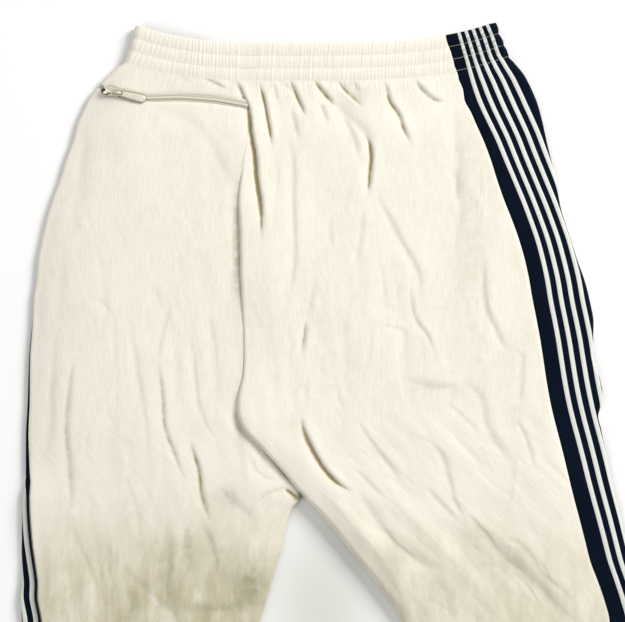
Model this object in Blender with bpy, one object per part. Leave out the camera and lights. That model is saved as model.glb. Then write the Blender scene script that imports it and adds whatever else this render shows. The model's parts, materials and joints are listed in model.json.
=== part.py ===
"""Track pants laid flat on their front, with the back up, as the pieces that are cut and sewn.

Lengths are in millimetres. A point on the table is (x, y): x runs to the right and y from the waist to
the hems, both from a corner of the table above the waistband's left end. z is the height above the
table. The garment is described by sections: each one runs from the inner seam out over the back, round
the outer edge and in again under the front. place() turns all of it into metres about the origin.
"""

import math

import bmesh
import bpy
import numpy as np

# Driving dimensions
CENTRE = (321.45, 606.9)  # the garment's middle on the table, which becomes the origin
CLOTH = 1.3  # jersey
CASING_WALL = 2.8  # two layers of jersey with the elastic between them
BRAID = 0.6
GAP = 0.3  # between neighbouring pieces
WAIST_Y = 43.0  # top edge of the waistband at the centre back
CASING_HEIGHT = 38.0
CASING_END = WAIST_Y + CASING_HEIGHT  # the seam between the waistband and the legs
CHANNELS = 3
CROTCH_Y = 496.0
CROTCH_X = 302.0
THIGH_END = 625.0  # where the picture ends, and the rows of points lie further apart
HEM_Y = 1190.0
# A long bent panel is three solids, end to end, so that its collision pieces can follow the bend: each
# one's name, and its first and last row of points
SPANS = (("top", 0, 11), ("middle", 11, 16), ("bottom", 16, 19))
EDGE_ROLL = 5.0  # half the height of the folded edge
LOFT = 3.5  # how much higher the cloth lies away from the edges
LOFT_RUN, INNER_LOFT_RUN = 55.0, 40.0  # how far from an outer and an inner edge it is all there
LOFT_BELOW_WAIST = 60.0  # and how far from the waistband
FOLD_RUN = 25.0  # how far from an edge the folds have their full depth
STEP_RUN = 60.0  # how far the right panel's extra height reaches from the centre back
LEGS_START = 425.0  # y from which each leg takes its own height
SEAM_RISE = 2.4  # height of the inner leg seams
FRONT_RISE_START, FRONT_RISE_RUN = 470.0, 50.0  # where the front rises to that seam, along y
LAP_START, LAP_RUN = 85.0, 35.0  # where the right back panel starts to lap over the left, along y

# Half height of the waistband: in a channel, on a row of stitching and at its bottom seam
CHANNEL_ROLL, STITCH_ROLL, CASING_SEAM_ROLL = 6.6, 6.1, 6.0

LINES = 5  # braid lines on each side panel

# Folded outer edges: y and x
LEFT_EDGE = (
    (25, 136), (48, 130), (58, 126.3), (67, 117.5), (73, 110.6), (88.8, 96), (100, 87.5), (124, 76.5),
    (160, 65), (200, 51.5), (240, 41), (300, 32), (360, 28), (440, 25), (500, 22), (622, 21),
    (720, 15), (850, 8), (1000, 0), (1190, -12),
)
RIGHT_EDGE = (
    (20.5, 494.6), (32.6, 498), (44.7, 503.3), (56.8, 508.5), (66, 517.3), (80, 527.6), (100, 536.8),
    (125, 543.8), (160, 551.8), (200, 559.5), (240, 571.6), (280, 584.8), (322, 592.8), (352, 594.5),
    (391, 600.5), (416, 601), (457, 607.5),
    (516, 620), (560, 632), (600, 643), (640, 648), (700, 650), (850, 653), (1190, 655),
)

# Centre back seam and, below the crotch, the inner leg edges: y, x on the left and right leg, how far
# each top layer rolls down there, and how much higher the right panel lies than the left one
INNER = (
    (43, 257, 257, 0, 0, 0), (81, 257, 257, 0, 0, 0), (115, 252, 252, 0, 2, 0.5),
    (160, 244, 244, 0, 3, 1.5), (200, 238.2, 238.2, 0, 3, 2.6), (245, 239.8, 239.8, 0, 3, 3),
    (300, 242, 242, 0, 3, 2.5), (352, 243.6, 243.6, 0, 3, 1.5), (398, 238.5, 238.5, 0, 3.5, 3),
    (420, 239.5, 239.5, 1, 4, 4.5), (445, 259, 259, 2, 5, 5), (474, 284, 284, 3, 6, 5),
    (496, 302, 302, 5, 8, 5), (511, 291, 317, 6, 8, 5), (550, 281, 349, 6, 8, 4.5),
    (585, 271, 377, 6, 7, 3.5), (622, 260, 401, 6, 6, 2), (690, 243, 418, 5, 5, 0),
    (780, 225, 432, 5, 5, 0), (880, 211, 440, 5, 5, 0), (1000, 200, 446, 5, 5, 0),
    (1190, 192, 451, 5, 5, 0),
)

# Where the back seam of the right side panel runs on the table: y, x
RIGHT_SEAM = (
    (20, 441.5), (45, 447.6), (66, 454), (80, 458.8), (100, 465.5), (125, 476), (160, 490.3),
    (200, 503.6), (240, 518.6), (280, 528.6), (340, 539.7), (400, 549.4), (440, 559.3), (500, 574),
    (560, 589.6), (600, 604), (622, 609), (700, 609), (850, 613), (1190, 617),
)

# Where the back seam of the left one runs, measured along the cloth from the folded edge, negative on
# top and positive underneath: y, offset
LEFT_SEAM = (
    (43, 8), (115, 8), (160, 7), (220, 5), (300, 1), (340, -2), (400, -4), (440, -5), (500, -8),
    (560, -14), (600, -20), (622, -23), (700, -27), (850, -31), (1190, -35),
)

# The side panel across: y, its width, navy before the first braid line, a line's width, and the
# distance from one line to the next
PANEL = (
    (43, 66, 13, 3.6, 7.1), (74, 70, 11.3, 3.9, 7.6), (98, 77, 10.6, 4.6, 9.6), (114, 81, 10.6, 5, 10.2),
    (160, 80, 12.9, 5, 10.2), (200, 80, 16.2, 5, 10.2), (300, 80, 15.9, 5, 10.8),
    (440, 80, 16.4, 5, 11.2), (500, 80, 17, 5, 11.2), (1190, 80, 16.3, 5, 10.7),
)

# How much a section's outer end lies above its inner end on the table: y, left, right
LIFT = ((43, 18, 21), (81, 19, 23.5), (115, 16, 18), (160, 8, 10), (220, 3, 4), (300, 0, 0), (1190, 0, 0))
LIFT_POWER = {"left": 2.3, "right": 4.2}

# On the left the side panel lies flat on the table as a flange that shows beyond the puffy leg, and
# its wide band climbs steeply to the back panel: y and the flange's width
FLANGE = ((450, 2.5), (500, 5), (540, 8.5), (580, 13), (622, 18), (700, 21), (1190, 24))
FLANGE_START, FLANGE_RUN = 450.0, 50.0  # where it begins and how soon it is all there, along y
FLANGE_HALF = 3.3  # half the flange's height
FLANGE_LIP = 0.8  # navy between the climb and the first braid line
CLIMB_RUN = 2.8  # how far the climb reaches across the table
PUFF = 3.0  # how much higher the back panel starts above the flange

# Underneath, the side panel lies on its braid, and the front panel comes down to the table beside it
PANEL_SHELF, PANEL_SLOPE = 4.0, 16.0

# The largest folds of the back: half width, height and the line that each one follows
FOLDS = (
    (8, -3.0, ((254, 112), (258, 160), (262, 240))),
    (10, -3.0, ((290, 130), (294, 225), (290, 300))),
    (10, -3.5, ((345, 110), (370, 150), (369, 200))),
    (11, -3.5, ((378, 190), (397, 235), (416, 262), (417, 305))),
    (12, -3.0, ((453, 100), (455, 175), (452, 255))),
    (12, -3.0, ((482, 270), (492, 328), (514, 352))),
    (12, -4.0, ((303, 420), (330, 475), (362, 512), (415, 560), (450, 575))),
    (13, -4.0, ((420, 432), (450, 500), (495, 545), (562, 615))),
    (10, 3.0, ((345, 385), (372, 440), (405, 490), (450, 535))),
    (10, -3.5, ((157, 355), (164, 400), (180, 460), (189, 485))),
    (10, -3.5, ((192, 442), (205, 500), (232, 508), (256, 522))),
    (11, 3.0, ((150, 470), (178, 530), (190, 600))),
    (12, -3.5, ((118, 562), (150, 595), (175, 640))),
    (10, -3.0, ((166, 525), (168, 575), (170, 605))),
    (11, -2.5, ((60, 330), (52, 400), (48, 460))),
    (14, -3.5, ((70, 690), (120, 740), (190, 745))),
    (14, -3.0, ((60, 830), (110, 850), (170, 820))),
    (14, -3.5, ((610, 700), (560, 745), (490, 760))),
    (14, -3.0, ((590, 880), (540, 850), (480, 850))),
    (16, -2.5, ((80, 960), (100, 1040), (95, 1120))),
    (16, -2.5, ((545, 950), (560, 1040), (552, 1130))),
)

# Zip of the back pocket: the middle of its chain, x and y
ZIP_PATH = ((105, 91.3), (146, 98.5), (177, 97.8), (210, 99.7), (249, 106))
SLIT_WIDTH = 7.5
TAPE_WIDTH, TAPE_THICKNESS = 12.0, 0.8
TAPE_DROP = 0.5  # below the jersey's inner face
COIL_WIDTH, COIL_HEIGHT = 4.4, 1.6
HINGE_AT = (118.6, 93.4)
SLIDER_TURN = -10.0  # degrees on the table
SLIDER_REACH = (-15.0, 4.0)  # the slider's two ends along it, from the hinge
SLIDER_WIDTH, SLIDER_HEIGHT = 9.6, 3.4
ARCH_INNER, ARCH_OUTER, ARCH_WIDTH = 1.7, 3.2, 1.6
ARCH_FOOT = 0.8  # how deep the arch stands in the slider
SLIDER_CLEAR = 0.65  # between the slider and the slit's two lips
HINGE_HEIGHT = 1.9  # the hinge axis above the slider's top
PULL_TURN = -14.0  # degrees on the table
PULL_SLOPE = 6.0  # degrees down to the cloth
PULL_LENGTH, PULL_WIDTH, PULL_THICKNESS = 30.0, 8.2, 1.4
PULL_EYE = (1.2, 3.9, 3.4)  # start and end along the pull, and width
PULL_HEAD = 1.2  # how far the pull reaches behind its hinge


def through(rows, column):
    """A smooth function of y through one column of a table, with no overshoot between its rows."""
    ys = np.array([row[0] for row in rows], float)
    values = np.array([row[column] for row in rows], float)
    steps = np.diff(ys)
    slopes = np.diff(values) / steps
    tangents = np.zeros(len(ys))
    for i in range(1, len(ys) - 1):
        if slopes[i - 1] * slopes[i] > 0:
            before, after = 2 * steps[i] + steps[i - 1], steps[i] + 2 * steps[i - 1]
            tangents[i] = (before + after) / (before / slopes[i - 1] + after / slopes[i])
    tangents[0], tangents[-1] = slopes[0], slopes[-1]

    def value(y):
        y = min(max(y, ys[0]), ys[-1])
        i = min(int(np.searchsorted(ys, y, "right")) - 1, len(steps) - 1)
        t = (y - ys[i]) / steps[i]
        start = (1 + 2 * t) * (1 - t) ** 2 * values[i] + t * (1 - t) ** 2 * steps[i] * tangents[i]
        end = t * t * (3 - 2 * t) * values[i + 1] + t * t * (t - 1) * steps[i] * tangents[i + 1]
        return start + end

    return value


def smooth(t):
    """0 up to t = 0, 1 from t = 1, and a soft step between."""
    t = min(max(t, 0.0), 1.0)
    return t * t * (3 - 2 * t)


def distance_to_line(x, y, line):
    """How far (x, y) is from a line of points, and from its nearer end along it, as a share."""
    point = np.array((x, y), float)
    corners = np.array(line, float)
    lengths = np.linalg.norm(np.diff(corners, axis=0), axis=1)
    best, along, walked = 1e9, 0.0, 0.0
    for start, end, length in zip(corners[:-1], corners[1:], lengths):
        t = min(max(float((point - start) @ (end - start)) / length**2, 0.0), 1.0)
        gap = float(np.linalg.norm(point - start - t * (end - start)))
        if gap < best:
            best, along = gap, walked + t * length
        walked += length
    share = along / walked
    return best, min(share, 1 - share)


def fold_height(x, y):
    """The largest folds, each fading out at its ends."""
    total = 0.0
    for half_width, height, line in FOLDS:
        away, from_end = distance_to_line(x, y, line)
        total += height * math.exp(-((away / half_width) ** 2)) * smooth(0.25 + 3 * from_end)
    return total


def leg_share(y):
    """0 where the two legs are one trunk, 1 where each is a tube of its own."""
    return smooth((y - LEGS_START) / (CROTCH_Y - LEGS_START))


def roll_at(y):
    """Half the height of the folded edge, with the waistband's channels standing proud."""
    into = (y - WAIST_Y) / CASING_HEIGHT
    if into < 0.999:
        channel = abs(math.sin(math.pi * CHANNELS * into))
        pinched = STITCH_ROLL + (CASING_SEAM_ROLL - STITCH_ROLL) * smooth(into * 3 - 2)
        return pinched + (CHANNEL_ROLL - STITCH_ROLL) * channel
    return EDGE_ROLL + (CASING_SEAM_ROLL - EDGE_ROLL) * math.exp(-((into - 1) * 2) ** 2)


class Side:
    """One half of the garment, left or right on the table."""

    def __init__(self, name, sign, edge, seam, column):
        self.name, self.sign = name, sign
        self.edge, self.seam, self.lift = through(edge, 1), through(seam, 1), through(LIFT, column)
        self.inner, self.inner_roll = through(INNER, column), through(INNER, column + 2)
        self.step = through(INNER, 5)
        self.width, self.band, self.line, self.pitch = (through(PANEL, c) for c in (1, 2, 3, 4))

    def section(self, y):
        return Section(self, y)


class Section:
    """The closed line of cloth across one half, at y on the inner seam."""

    def __init__(self, side, y):
        self.side, self.y = side, y
        self.y_edge = y - side.lift(y)
        self.x = side.inner(y)
        self.length = abs(side.edge(self.y_edge) - self.x)
        self.roll = roll_at(y)
        self.inner_roll = max(side.inner_roll(y), 0.05)
        self.inner_arc = 1.3 * self.inner_roll

        # the folded edge: a plain roll, or on the left leg a flange with a climb behind it
        self.flanged = smooth((y - FLANGE_START) / FLANGE_RUN) if side.name == "left" else 0.0
        self.rim = self.roll + (FLANGE_HALF - self.roll) * self.flanged
        self.quarter = math.pi / 2 * self.rim
        self.flat = max(through(FLANGE, 1)(y) - self.rim, 0.0) * self.flanged
        self.climb_run = CLIMB_RUN * self.flanged
        self.climb_height = 2 * (self.roll - self.rim) + PUFF * self.flanged
        self.climb = math.hypot(self.climb_run, self.climb_height)
        self.top_length = self.length - self.rim - self.flat - self.climb_run

        # along the cloth from the inner seam: the folded edge, both side seams and the whole section
        bend = self.inner_arc - self.inner_roll
        self.half = self.top_length + bend + self.climb + self.flat + self.quarter
        self.around = self.half + self.quarter + self.length - self.rim + bend
        if side.name == "left":
            outside = self.climb + self.flat + self.quarter
            plain = side.seam(y) * (1 - self.flanged)
            self.back_seam = self.half + plain - outside * self.flanged
        else:
            self.back_seam = self.crossing(side.seam) + bend
        band = side.band(y)
        self.back_band = band + (self.climb + FLANGE_LIP - band) * self.flanged
        self.front_seam = self.back_seam + side.width(y) + self.back_band - band

        seam_height = 2 * self.roll + LOFT * self.below_waist()
        lapped = smooth((y - LAP_START) / LAP_RUN) if side.name == "right" else 0.0
        leg = leg_share(y)
        self.back_end = (1 - leg) * (seam_height - CLOTH * lapped) + leg * SEAM_RISE
        self.front_end = smooth((y - FRONT_RISE_START) / FRONT_RISE_RUN) * SEAM_RISE
        # the centre front seam runs straight to the crotch, under the back one's bend
        down = min((y - WAIST_Y) / (CROTCH_Y - WAIST_Y), 1.0)
        straight = side.inner(WAIST_Y) + (CROTCH_X - side.inner(WAIST_Y)) * down
        self.front_start = self.from_inner(side.sign * (straight - self.x)) if y < CROTCH_Y else 0.0

    def below_waist(self):
        """0 at the waistband and 1 from a little below it, where the cloth has its loft."""
        return smooth((self.y - CASING_END) / LOFT_BELOW_WAIST)

    def from_inner(self, away):
        """How far along the cloth a point is that lies away from the inner seam on the table."""
        if away <= 0:
            return away
        if away < self.inner_roll:
            return self.inner_arc * math.acos(1 - away / self.inner_roll) / (math.pi / 2)
        return away + self.inner_arc - self.inner_roll

    def crossing(self, line):
        """How far from the inner edge the section crosses a line on the table, given as x at y."""
        low, high = 0.3 * self.length, self.length
        for _ in range(30):
            middle = (low + high) / 2
            x, y = self.on_table(middle)
            if x < line(y):
                low = middle
            else:
                high = middle
        return low

    def band_lines(self):
        """Where each braid line starts and ends along the section."""
        first, pitch = self.back_seam + self.back_band, self.side.pitch(self.y)
        return [(first + i * pitch, first + i * pitch + self.side.line(self.y)) for i in range(LINES)]

    def under(self, along):
        """The height of the underside: the side panel lies on its braid, and the rest on the table."""
        past = along - self.front_seam - PANEL_SHELF
        return (GAP + BRAID) * (1 - smooth(past / PANEL_SLOPE))

    def top(self, x, y, away):
        """The height of the back at a point, with its loft and folds."""
        from_edge = self.top_length - away
        leg = leg_share(self.y)
        puff = PUFF * self.flanged
        loft = puff + (LOFT - puff) * self.below_waist() * smooth(from_edge / LOFT_RUN)
        loft *= 1 - leg * (1 - smooth(away / INNER_LOFT_RUN))
        inward = smooth(from_edge / FOLD_RUN) * (1 - leg * (1 - smooth(away / FOLD_RUN)))
        height = 2 * self.roll + loft + fold_height(x, y) * inward
        if self.side.name == "right":
            height += self.side.step(self.y) * math.exp(-((away / STEP_RUN) ** 2))
        return height

    def point(self, along, depth=0.0):
        """The point that lies along the section, depth inside the cloth's outer face."""
        past = along - self.half
        if past > self.quarter:
            away, height, normal = self.bottom_point(along)
        elif past > -self.quarter:
            angle = -past / self.rim
            floor = self.under(self.half + self.quarter)
            away = self.length - self.rim + self.rim * math.cos(angle)
            height = self.rim + floor / 2 + (self.rim - floor / 2) * math.sin(angle)
            normal = (math.cos(angle), math.sin(angle))
        elif past > -self.quarter - self.flat:
            away, height, normal = self.length - self.rim + past + self.quarter, 2 * self.rim, (0.0, 1.0)
        elif past > -self.quarter - self.flat - self.climb:
            share = -(past + self.quarter + self.flat) / self.climb
            away = self.top_length + self.climb_run * (1 - share)
            height = 2 * self.rim + self.climb_height * share
            normal = (self.climb_height / self.climb, self.climb_run / self.climb)
        else:
            away, height, normal = self.top_point(along)
        x, y = self.on_table(away)
        return x - self.side.sign * depth * normal[0], y, height - depth * normal[1]

    def inner_bend(self, along, level, end):
        """The cloth rolling down from level to end at the inner seam."""
        angle = along / self.inner_arc * math.pi / 2
        rolled = min(abs(level - end) / SEAM_RISE, 1.0)
        up = math.sin(angle) * rolled + 1 - rolled
        size = math.hypot(math.cos(angle) * rolled, up)
        height = end + (level - end) * math.sin(angle)
        return height, (-math.cos(angle) * rolled / size, up / size)

    def away_at(self, along):
        if along < 0:
            return along
        if along < self.inner_arc:
            return self.inner_roll * (1 - math.cos(along / self.inner_arc * math.pi / 2))
        return self.inner_roll + along - self.inner_arc

    def top_point(self, along):
        away = self.away_at(along)
        level = self.top(*self.on_table(away), away)
        if along >= self.inner_arc:
            return away, level, (0.0, 1.0)
        height, normal = self.inner_bend(along, level, self.back_end)
        return away, height, normal

    def bottom_point(self, along):
        left = self.around - along
        away = self.away_at(left)
        if not 0 <= left < self.inner_arc:
            return away, self.under(along) if left > 0 else 0.0, (0.0, -1.0)
        height, (across, up) = self.inner_bend(left, 0.0, self.front_end)
        return away, height, (across, -up)

    def on_table(self, away):
        share = away / self.length
        rise = self.side.lift(self.y) * max(share, 0) ** LIFT_POWER[self.side.name]
        return self.x + self.side.sign * away, self.y - rise


LEFT = Side("left", -1, LEFT_EDGE, LEFT_SEAM, 1)
RIGHT = Side("right", 1, RIGHT_EDGE, RIGHT_SEAM, 2)


def casing_rows():
    """y on the centre back of the waistband's rows: each stitching row and the middle of each channel."""
    rows = np.linspace(WAIST_Y, CASING_END, 2 * CHANNELS + 1)
    rows[-1] = CASING_END - GAP / 2
    return rows


def panel_rows():
    """y on the inner seam of the leg's rows, closer where the picture shows them."""
    trunk = np.linspace(CASING_END, CROTCH_Y, 12)
    thigh = np.linspace(CROTCH_Y, THIGH_END, 4)[1:]
    lower = np.linspace(THIGH_END, HEM_Y, 6)[1:]
    rows = np.concatenate((trunk, thigh, lower))
    rows[0] = CASING_END + GAP / 2
    return rows


def panel_spans():
    """The rows of each of a long panel's solids, which end a gap apart."""
    rows = panel_rows()
    for name, first, last in SPANS:
        own = rows[first:last + 1].copy()
        if first > 0:
            own[0] += GAP
        yield name, own


def place(point):
    x, y, z = point
    return (x - CENTRE[0]) / 1000, (CENTRE[1] - y) / 1000, z / 1000


def material(name, colour, roughness, metallic=0.0):
    made = bpy.data.materials.new(name)
    made.use_nodes = True
    shader = made.node_tree.nodes["Principled BSDF"]
    shader.inputs["Base Color"].default_value = (*colour, 1.0)
    shader.inputs["Roughness"].default_value = roughness
    shader.inputs["Metallic"].default_value = metallic
    made.diffuse_color = (*colour, 1.0)
    return made


CREAM = (0.86, 0.82, 0.70)
NAVY = (0.012, 0.02, 0.055)
WHITE = (0.83, 0.84, 0.80)
TAPE_GREY = (0.55, 0.52, 0.45)
NICKEL = (0.62, 0.61, 0.58)


def new_object(name, bm, surface):
    """An object from a closed mesh, with its faces turned outwards and its round stretches smooth."""
    bmesh.ops.recalc_face_normals(bm, faces=bm.faces)
    mesh = bpy.data.meshes.new(name)
    bm.to_mesh(mesh)
    bm.free()
    mesh.materials.append(surface)
    mesh.shade_smooth()
    mesh.set_sharp_from_angle(angle=math.radians(40))
    made = bpy.data.objects.new(name, mesh)
    bpy.context.collection.objects.link(made)
    return made


def wall(name, outer, inner, surface, crossed=False):
    """A closed wall between two grids of points, rows of equal length, in millimetres.

    crossed splits each four-sided face along its other diagonal, the one that stands out where the
    braid passes round the right folded edge.
    """
    bm = bmesh.new()
    rows, columns = len(outer), len(outer[0])
    top, bottom = ([[bm.verts.new(place(p)) for p in row] for row in grid] for grid in (outer, inner))

    def quad(a, b, c, d):
        for corners in ((a, b, d), (b, c, d)) if crossed else ((a, b, c), (a, c, d)):
            bm.faces.new(corners)

    for i in range(rows - 1):
        for j in range(columns - 1):
            quad(top[i][j], top[i][j + 1], top[i + 1][j + 1], top[i + 1][j])
            quad(bottom[i][j], bottom[i + 1][j], bottom[i + 1][j + 1], bottom[i][j + 1])
    for i in range(rows - 1):
        for j in (0, columns - 1):
            quad(top[i][j], top[i + 1][j], bottom[i + 1][j], bottom[i][j])
    for j in range(columns - 1):
        for i in (0, rows - 1):
            quad(top[i][j], top[i][j + 1], bottom[i][j + 1], bottom[i][j])
    return new_object(name, bm, surface)


def strip_of(name, side, rows, reaches, outer_depth, inner_depth, surface):
    """A piece of cloth over some sections. reaches gives where it runs on each, from the inner seam."""
    grids = ([], [])
    for y in rows:
        section = side.section(y)
        spots = reaches(section)
        for grid, depth in zip(grids, (outer_depth, inner_depth)):
            grid.append([section.point(spot, depth) for spot in spots])
    return wall(name, grids[0], grids[1], surface, crossed=side is RIGHT)


def spaced(start, end, count, section):
    """count steps from start to end, with extra ones round the rolled edges that lie between."""
    rolled = section.half - section.quarter
    spots = list(np.linspace(start, end, count + 1))
    if abs(start) < 1 and section.inner_arc > 1:
        spots[1] = section.inner_arc * 0.5
        spots[2] = section.inner_arc * 1.0
    if end > rolled:
        spots[-3] = rolled
        spots[-2] = (rolled + end) / 2
    return spots


def back_reach(count):
    return lambda s: spaced(GAP / 2, s.back_seam - GAP / 2, count, s)


def front_reach(count):
    def reach(section):
        start, end = section.front_start + GAP / 2, section.around - section.front_seam - GAP / 2
        return [section.around - spot for spot in spaced(start, end, count, section)]

    return reach


def side_reach(section):
    inside = [spot for line in section.band_lines() for spot in line]
    tucked = (CLOTH + GAP) * section.flanged
    return [section.back_seam + GAP / 2 + tucked, *inside, section.front_seam - GAP / 2]


def braid_reach(index):
    return lambda section: section.band_lines()[index]


def with_fold_rows(side, rows):
    """The rows, on the left with two more above the crotch, where the side panel folds over quickly."""
    if side is not LEFT:
        return rows
    last = np.linspace(CASING_END, CROTCH_Y, 12)[-2]
    extra = np.linspace(last, CROTCH_Y, 4)[1:-1]
    return np.sort(np.concatenate((rows, extra[(extra > min(rows)) & (extra < max(rows))])))


def make_cloth():
    cream = material("cream_jersey", CREAM, 0.9)
    navy = material("navy_jersey", NAVY, 0.85)
    white = material("white_braid", WHITE, 0.8)
    panel, casing = panel_rows(), casing_rows()
    both = np.concatenate((casing, panel))
    for side in (LEFT, RIGHT):
        name = side.name
        for span, rows in panel_spans():
            strip_of(f"leg_back_{name}_{span}", side, rows, back_reach(15), 0, CLOTH, cream)
            folded = with_fold_rows(side, rows)
            strip_of(f"side_panel_{name}_{span}", side, folded, side_reach, 0, CLOTH, navy)
        strip_of(f"leg_front_{name}", side, panel, front_reach(6), 0, CLOTH, cream)
        strip_of(f"waistband_back_{name}", side, casing, back_reach(7), 0, CASING_WALL, cream)
        strip_of(f"waistband_side_{name}", side, casing, side_reach, 0, CASING_WALL, navy)
        strip_of(f"waistband_front_{name}", side, casing, front_reach(6), 0, CASING_WALL, cream)
        for index in range(LINES):
            reach = braid_reach(index)
            folded = with_fold_rows(side, both)
            strip_of(f"braid_{name}_{index + 1}", side, folded, reach, -GAP - BRAID, -GAP, white)


def zip_line(count):
    """Points along the zip's middle, with the direction across it."""
    path = through(ZIP_PATH, 1)
    xs = np.linspace(ZIP_PATH[0][0], ZIP_PATH[-1][0], count)
    line = []
    for x in xs:
        slope = (path(x + 1) - path(x - 1)) / 2
        size = math.hypot(1, slope)
        line.append((x, path(x), -slope / size, 1 / size))
    return line


def back_height(x, y):
    """The height of the left back panel's outer face at a point of the table."""
    low, high = y, y + LEFT.lift(WAIST_Y)
    for _ in range(30):
        middle = (low + high) / 2
        section = LEFT.section(middle)
        if section.on_table(section.x - x)[1] < y:
            low = middle
        else:
            high = middle
    section = LEFT.section(low)
    away = section.x - x
    return section.top(x, y, away)


def zip_strip(name, half_width, drop, thickness, ends, surface, count=9):
    """A flat strip along the zip, its top face drop below the back panel's outer face."""
    grids = ([], [])
    for x, y, across_x, across_y in zip_line(count):
        x = min(max(x, ends[0]), ends[1])
        height = back_height(x, y) - drop
        for grid, z in zip(grids, (height, height - thickness)):
            grid.append([
                (x + side * half_width * across_x, y + side * half_width * across_y, z)
                for side in (-1, 0, 1)
            ])
    return wall(name, grids[0], grids[1], surface)


def box(name, size, centre, surface):
    """A plain block, size and centre in millimetres, in its parent's frame."""
    bm = bmesh.new()
    bmesh.ops.create_cube(bm, size=1.0)
    for vertex in bm.verts:
        for axis in range(3):
            vertex.co[axis] = (vertex.co[axis] * size[axis] + centre[axis]) / 1000
    return new_object(name, bm, surface)


def prism(name, outline, start, end, axes, surface):
    """A closed outline pushed from start to end. axes says which axis each of the three goes to."""
    bm = bmesh.new()

    def vertex(u, v, w):
        place_on = [0.0, 0.0, 0.0]
        for axis, value in zip(axes, (u, v, w)):
            place_on[axis] = value / 1000
        return bm.verts.new(place_on)

    first = [vertex(u, v, start) for u, v in outline]
    last = [vertex(u, v, end) for u, v in outline]
    bm.faces.new(first)
    bm.faces.new(last[::-1])
    for i in range(len(outline)):
        j = (i + 1) % len(outline)
        bm.faces.new((first[i], last[i], last[j], first[j]))
    return new_object(name, bm, surface)


def hide(cutter):
    cutter.hide_render = True
    cutter.display_type = "WIRE"
    return cutter


def boolean(target, other, operation):
    step = target.modifiers.new(other.name, "BOOLEAN")
    step.operation, step.solver, step.object = operation, "EXACT", other


def arc(radius, start, end, count):
    angles = np.radians(np.linspace(start, end, count))
    return [(radius * math.cos(a), radius * math.sin(a)) for a in angles]


def make_zip():
    tape_grey = material("zip_tape_cloth", TAPE_GREY, 0.85)
    coil_grey = material("zip_coil_plastic", TAPE_GREY, 0.45)
    nickel = material("zip_metal", NICKEL, 0.3, 1.0)
    start, end = ZIP_PATH[0][0], ZIP_PATH[-1][0]

    slit = hide(zip_strip("slit_cutter", SLIT_WIDTH / 2, -10, 17, (start + 1, end - 1), nickel))
    boolean(bpy.data.objects["leg_back_left_top"], slit, "DIFFERENCE")
    tape_drop = CLOTH + TAPE_DROP
    zip_strip("zip_tape", TAPE_WIDTH / 2, tape_drop, TAPE_THICKNESS, (start + 2, end), tape_grey)
    coil_drop = tape_drop - GAP - COIL_HEIGHT
    zip_strip("zip_coil", COIL_WIDTH / 2, coil_drop, COIL_HEIGHT, (start + 3, end - 2), coil_grey)

    # the slider lies on the coil, and its arch holds the pull's eye
    deck = back_height(*HINGE_AT) + SLIDER_CLEAR
    slider_top = deck + SLIDER_HEIGHT
    pivot_x, pivot_y, _ = place((*HINGE_AT, 0))
    hinge_z = (slider_top + HINGE_HEIGHT) / 1000
    carrier = bpy.data.objects.new("slider_frame", None)
    carrier.location = (pivot_x, pivot_y, hinge_z)
    carrier.rotation_euler = (0, 0, math.radians(SLIDER_TURN))
    bpy.context.collection.objects.link(carrier)
    back, front = SLIDER_REACH
    nose = SLIDER_WIDTH / 2
    outline = [(back, -nose * 0.6), (back * 0.7, -nose), (front * 0.4, -nose), (front, -nose * 0.7)]
    outline += [(u, -v) for u, v in reversed(outline)]
    low = -HINGE_HEIGHT - SLIDER_HEIGHT
    slider = prism("zip_slider", outline, low, -HINGE_HEIGHT, (0, 1, 2), nickel)
    foot = -HINGE_HEIGHT - ARCH_FOOT
    arch_line = [(ARCH_OUTER, foot), *arc(ARCH_OUTER, 0, 180, 13), (-ARCH_OUTER, foot)]
    arch_line += [(-ARCH_INNER, foot), *arc(ARCH_INNER, 180, 0, 11), (ARCH_INNER, foot)]
    arch = hide(prism("slider_arch", arch_line, -ARCH_WIDTH / 2, ARCH_WIDTH / 2, (0, 2, 1), nickel))
    boolean(slider, arch, "UNION")
    for piece in (slider, arch):
        piece.parent = carrier

    hinge = bpy.data.objects.new("pull_hinge", None)
    hinge.location = (pivot_x, pivot_y, hinge_z)
    hinge.rotation_euler = (0, math.radians(PULL_SLOPE), math.radians(PULL_TURN))
    bpy.context.collection.objects.link(hinge)
    tip = PULL_WIDTH / 2
    round_end = [(PULL_LENGTH - PULL_HEAD - tip + u, v) for u, v in arc(tip, -90, 90, 11)]
    corner = [(-PULL_HEAD, tip - 1), (1 - PULL_HEAD, tip)]
    pull_line = [(u, -v) for u, v in corner] + round_end + corner[::-1]
    thick = PULL_THICKNESS / 2
    pull = prism("zip_pull", pull_line, -thick, thick, (0, 1, 2), nickel)
    eye_start, eye_end, eye_width = PULL_EYE
    eye_size = (eye_end - eye_start, eye_width, 4)
    eye = hide(box("eye_cutter", eye_size, ((eye_start + eye_end) / 2, 0, 0), nickel))
    boolean(pull, eye, "DIFFERENCE")
    for piece in (pull, eye):
        piece.parent = hinge


for old in list(bpy.data.objects):
    bpy.data.objects.remove(old, do_unlink=True)
make_cloth()
make_zip()
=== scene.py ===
# %% [markdown]
# # Track pants laid flat, back up
# This lesson builds the visible cloth of a pair of cream track pants that lie on their front on a pale
# table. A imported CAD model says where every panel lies. Each visible piece takes the place of one of its
# nodes: the same closed section of cloth, drawn far more finely, with its folds, gathers and stitches.

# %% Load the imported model
import json
import math

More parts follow.
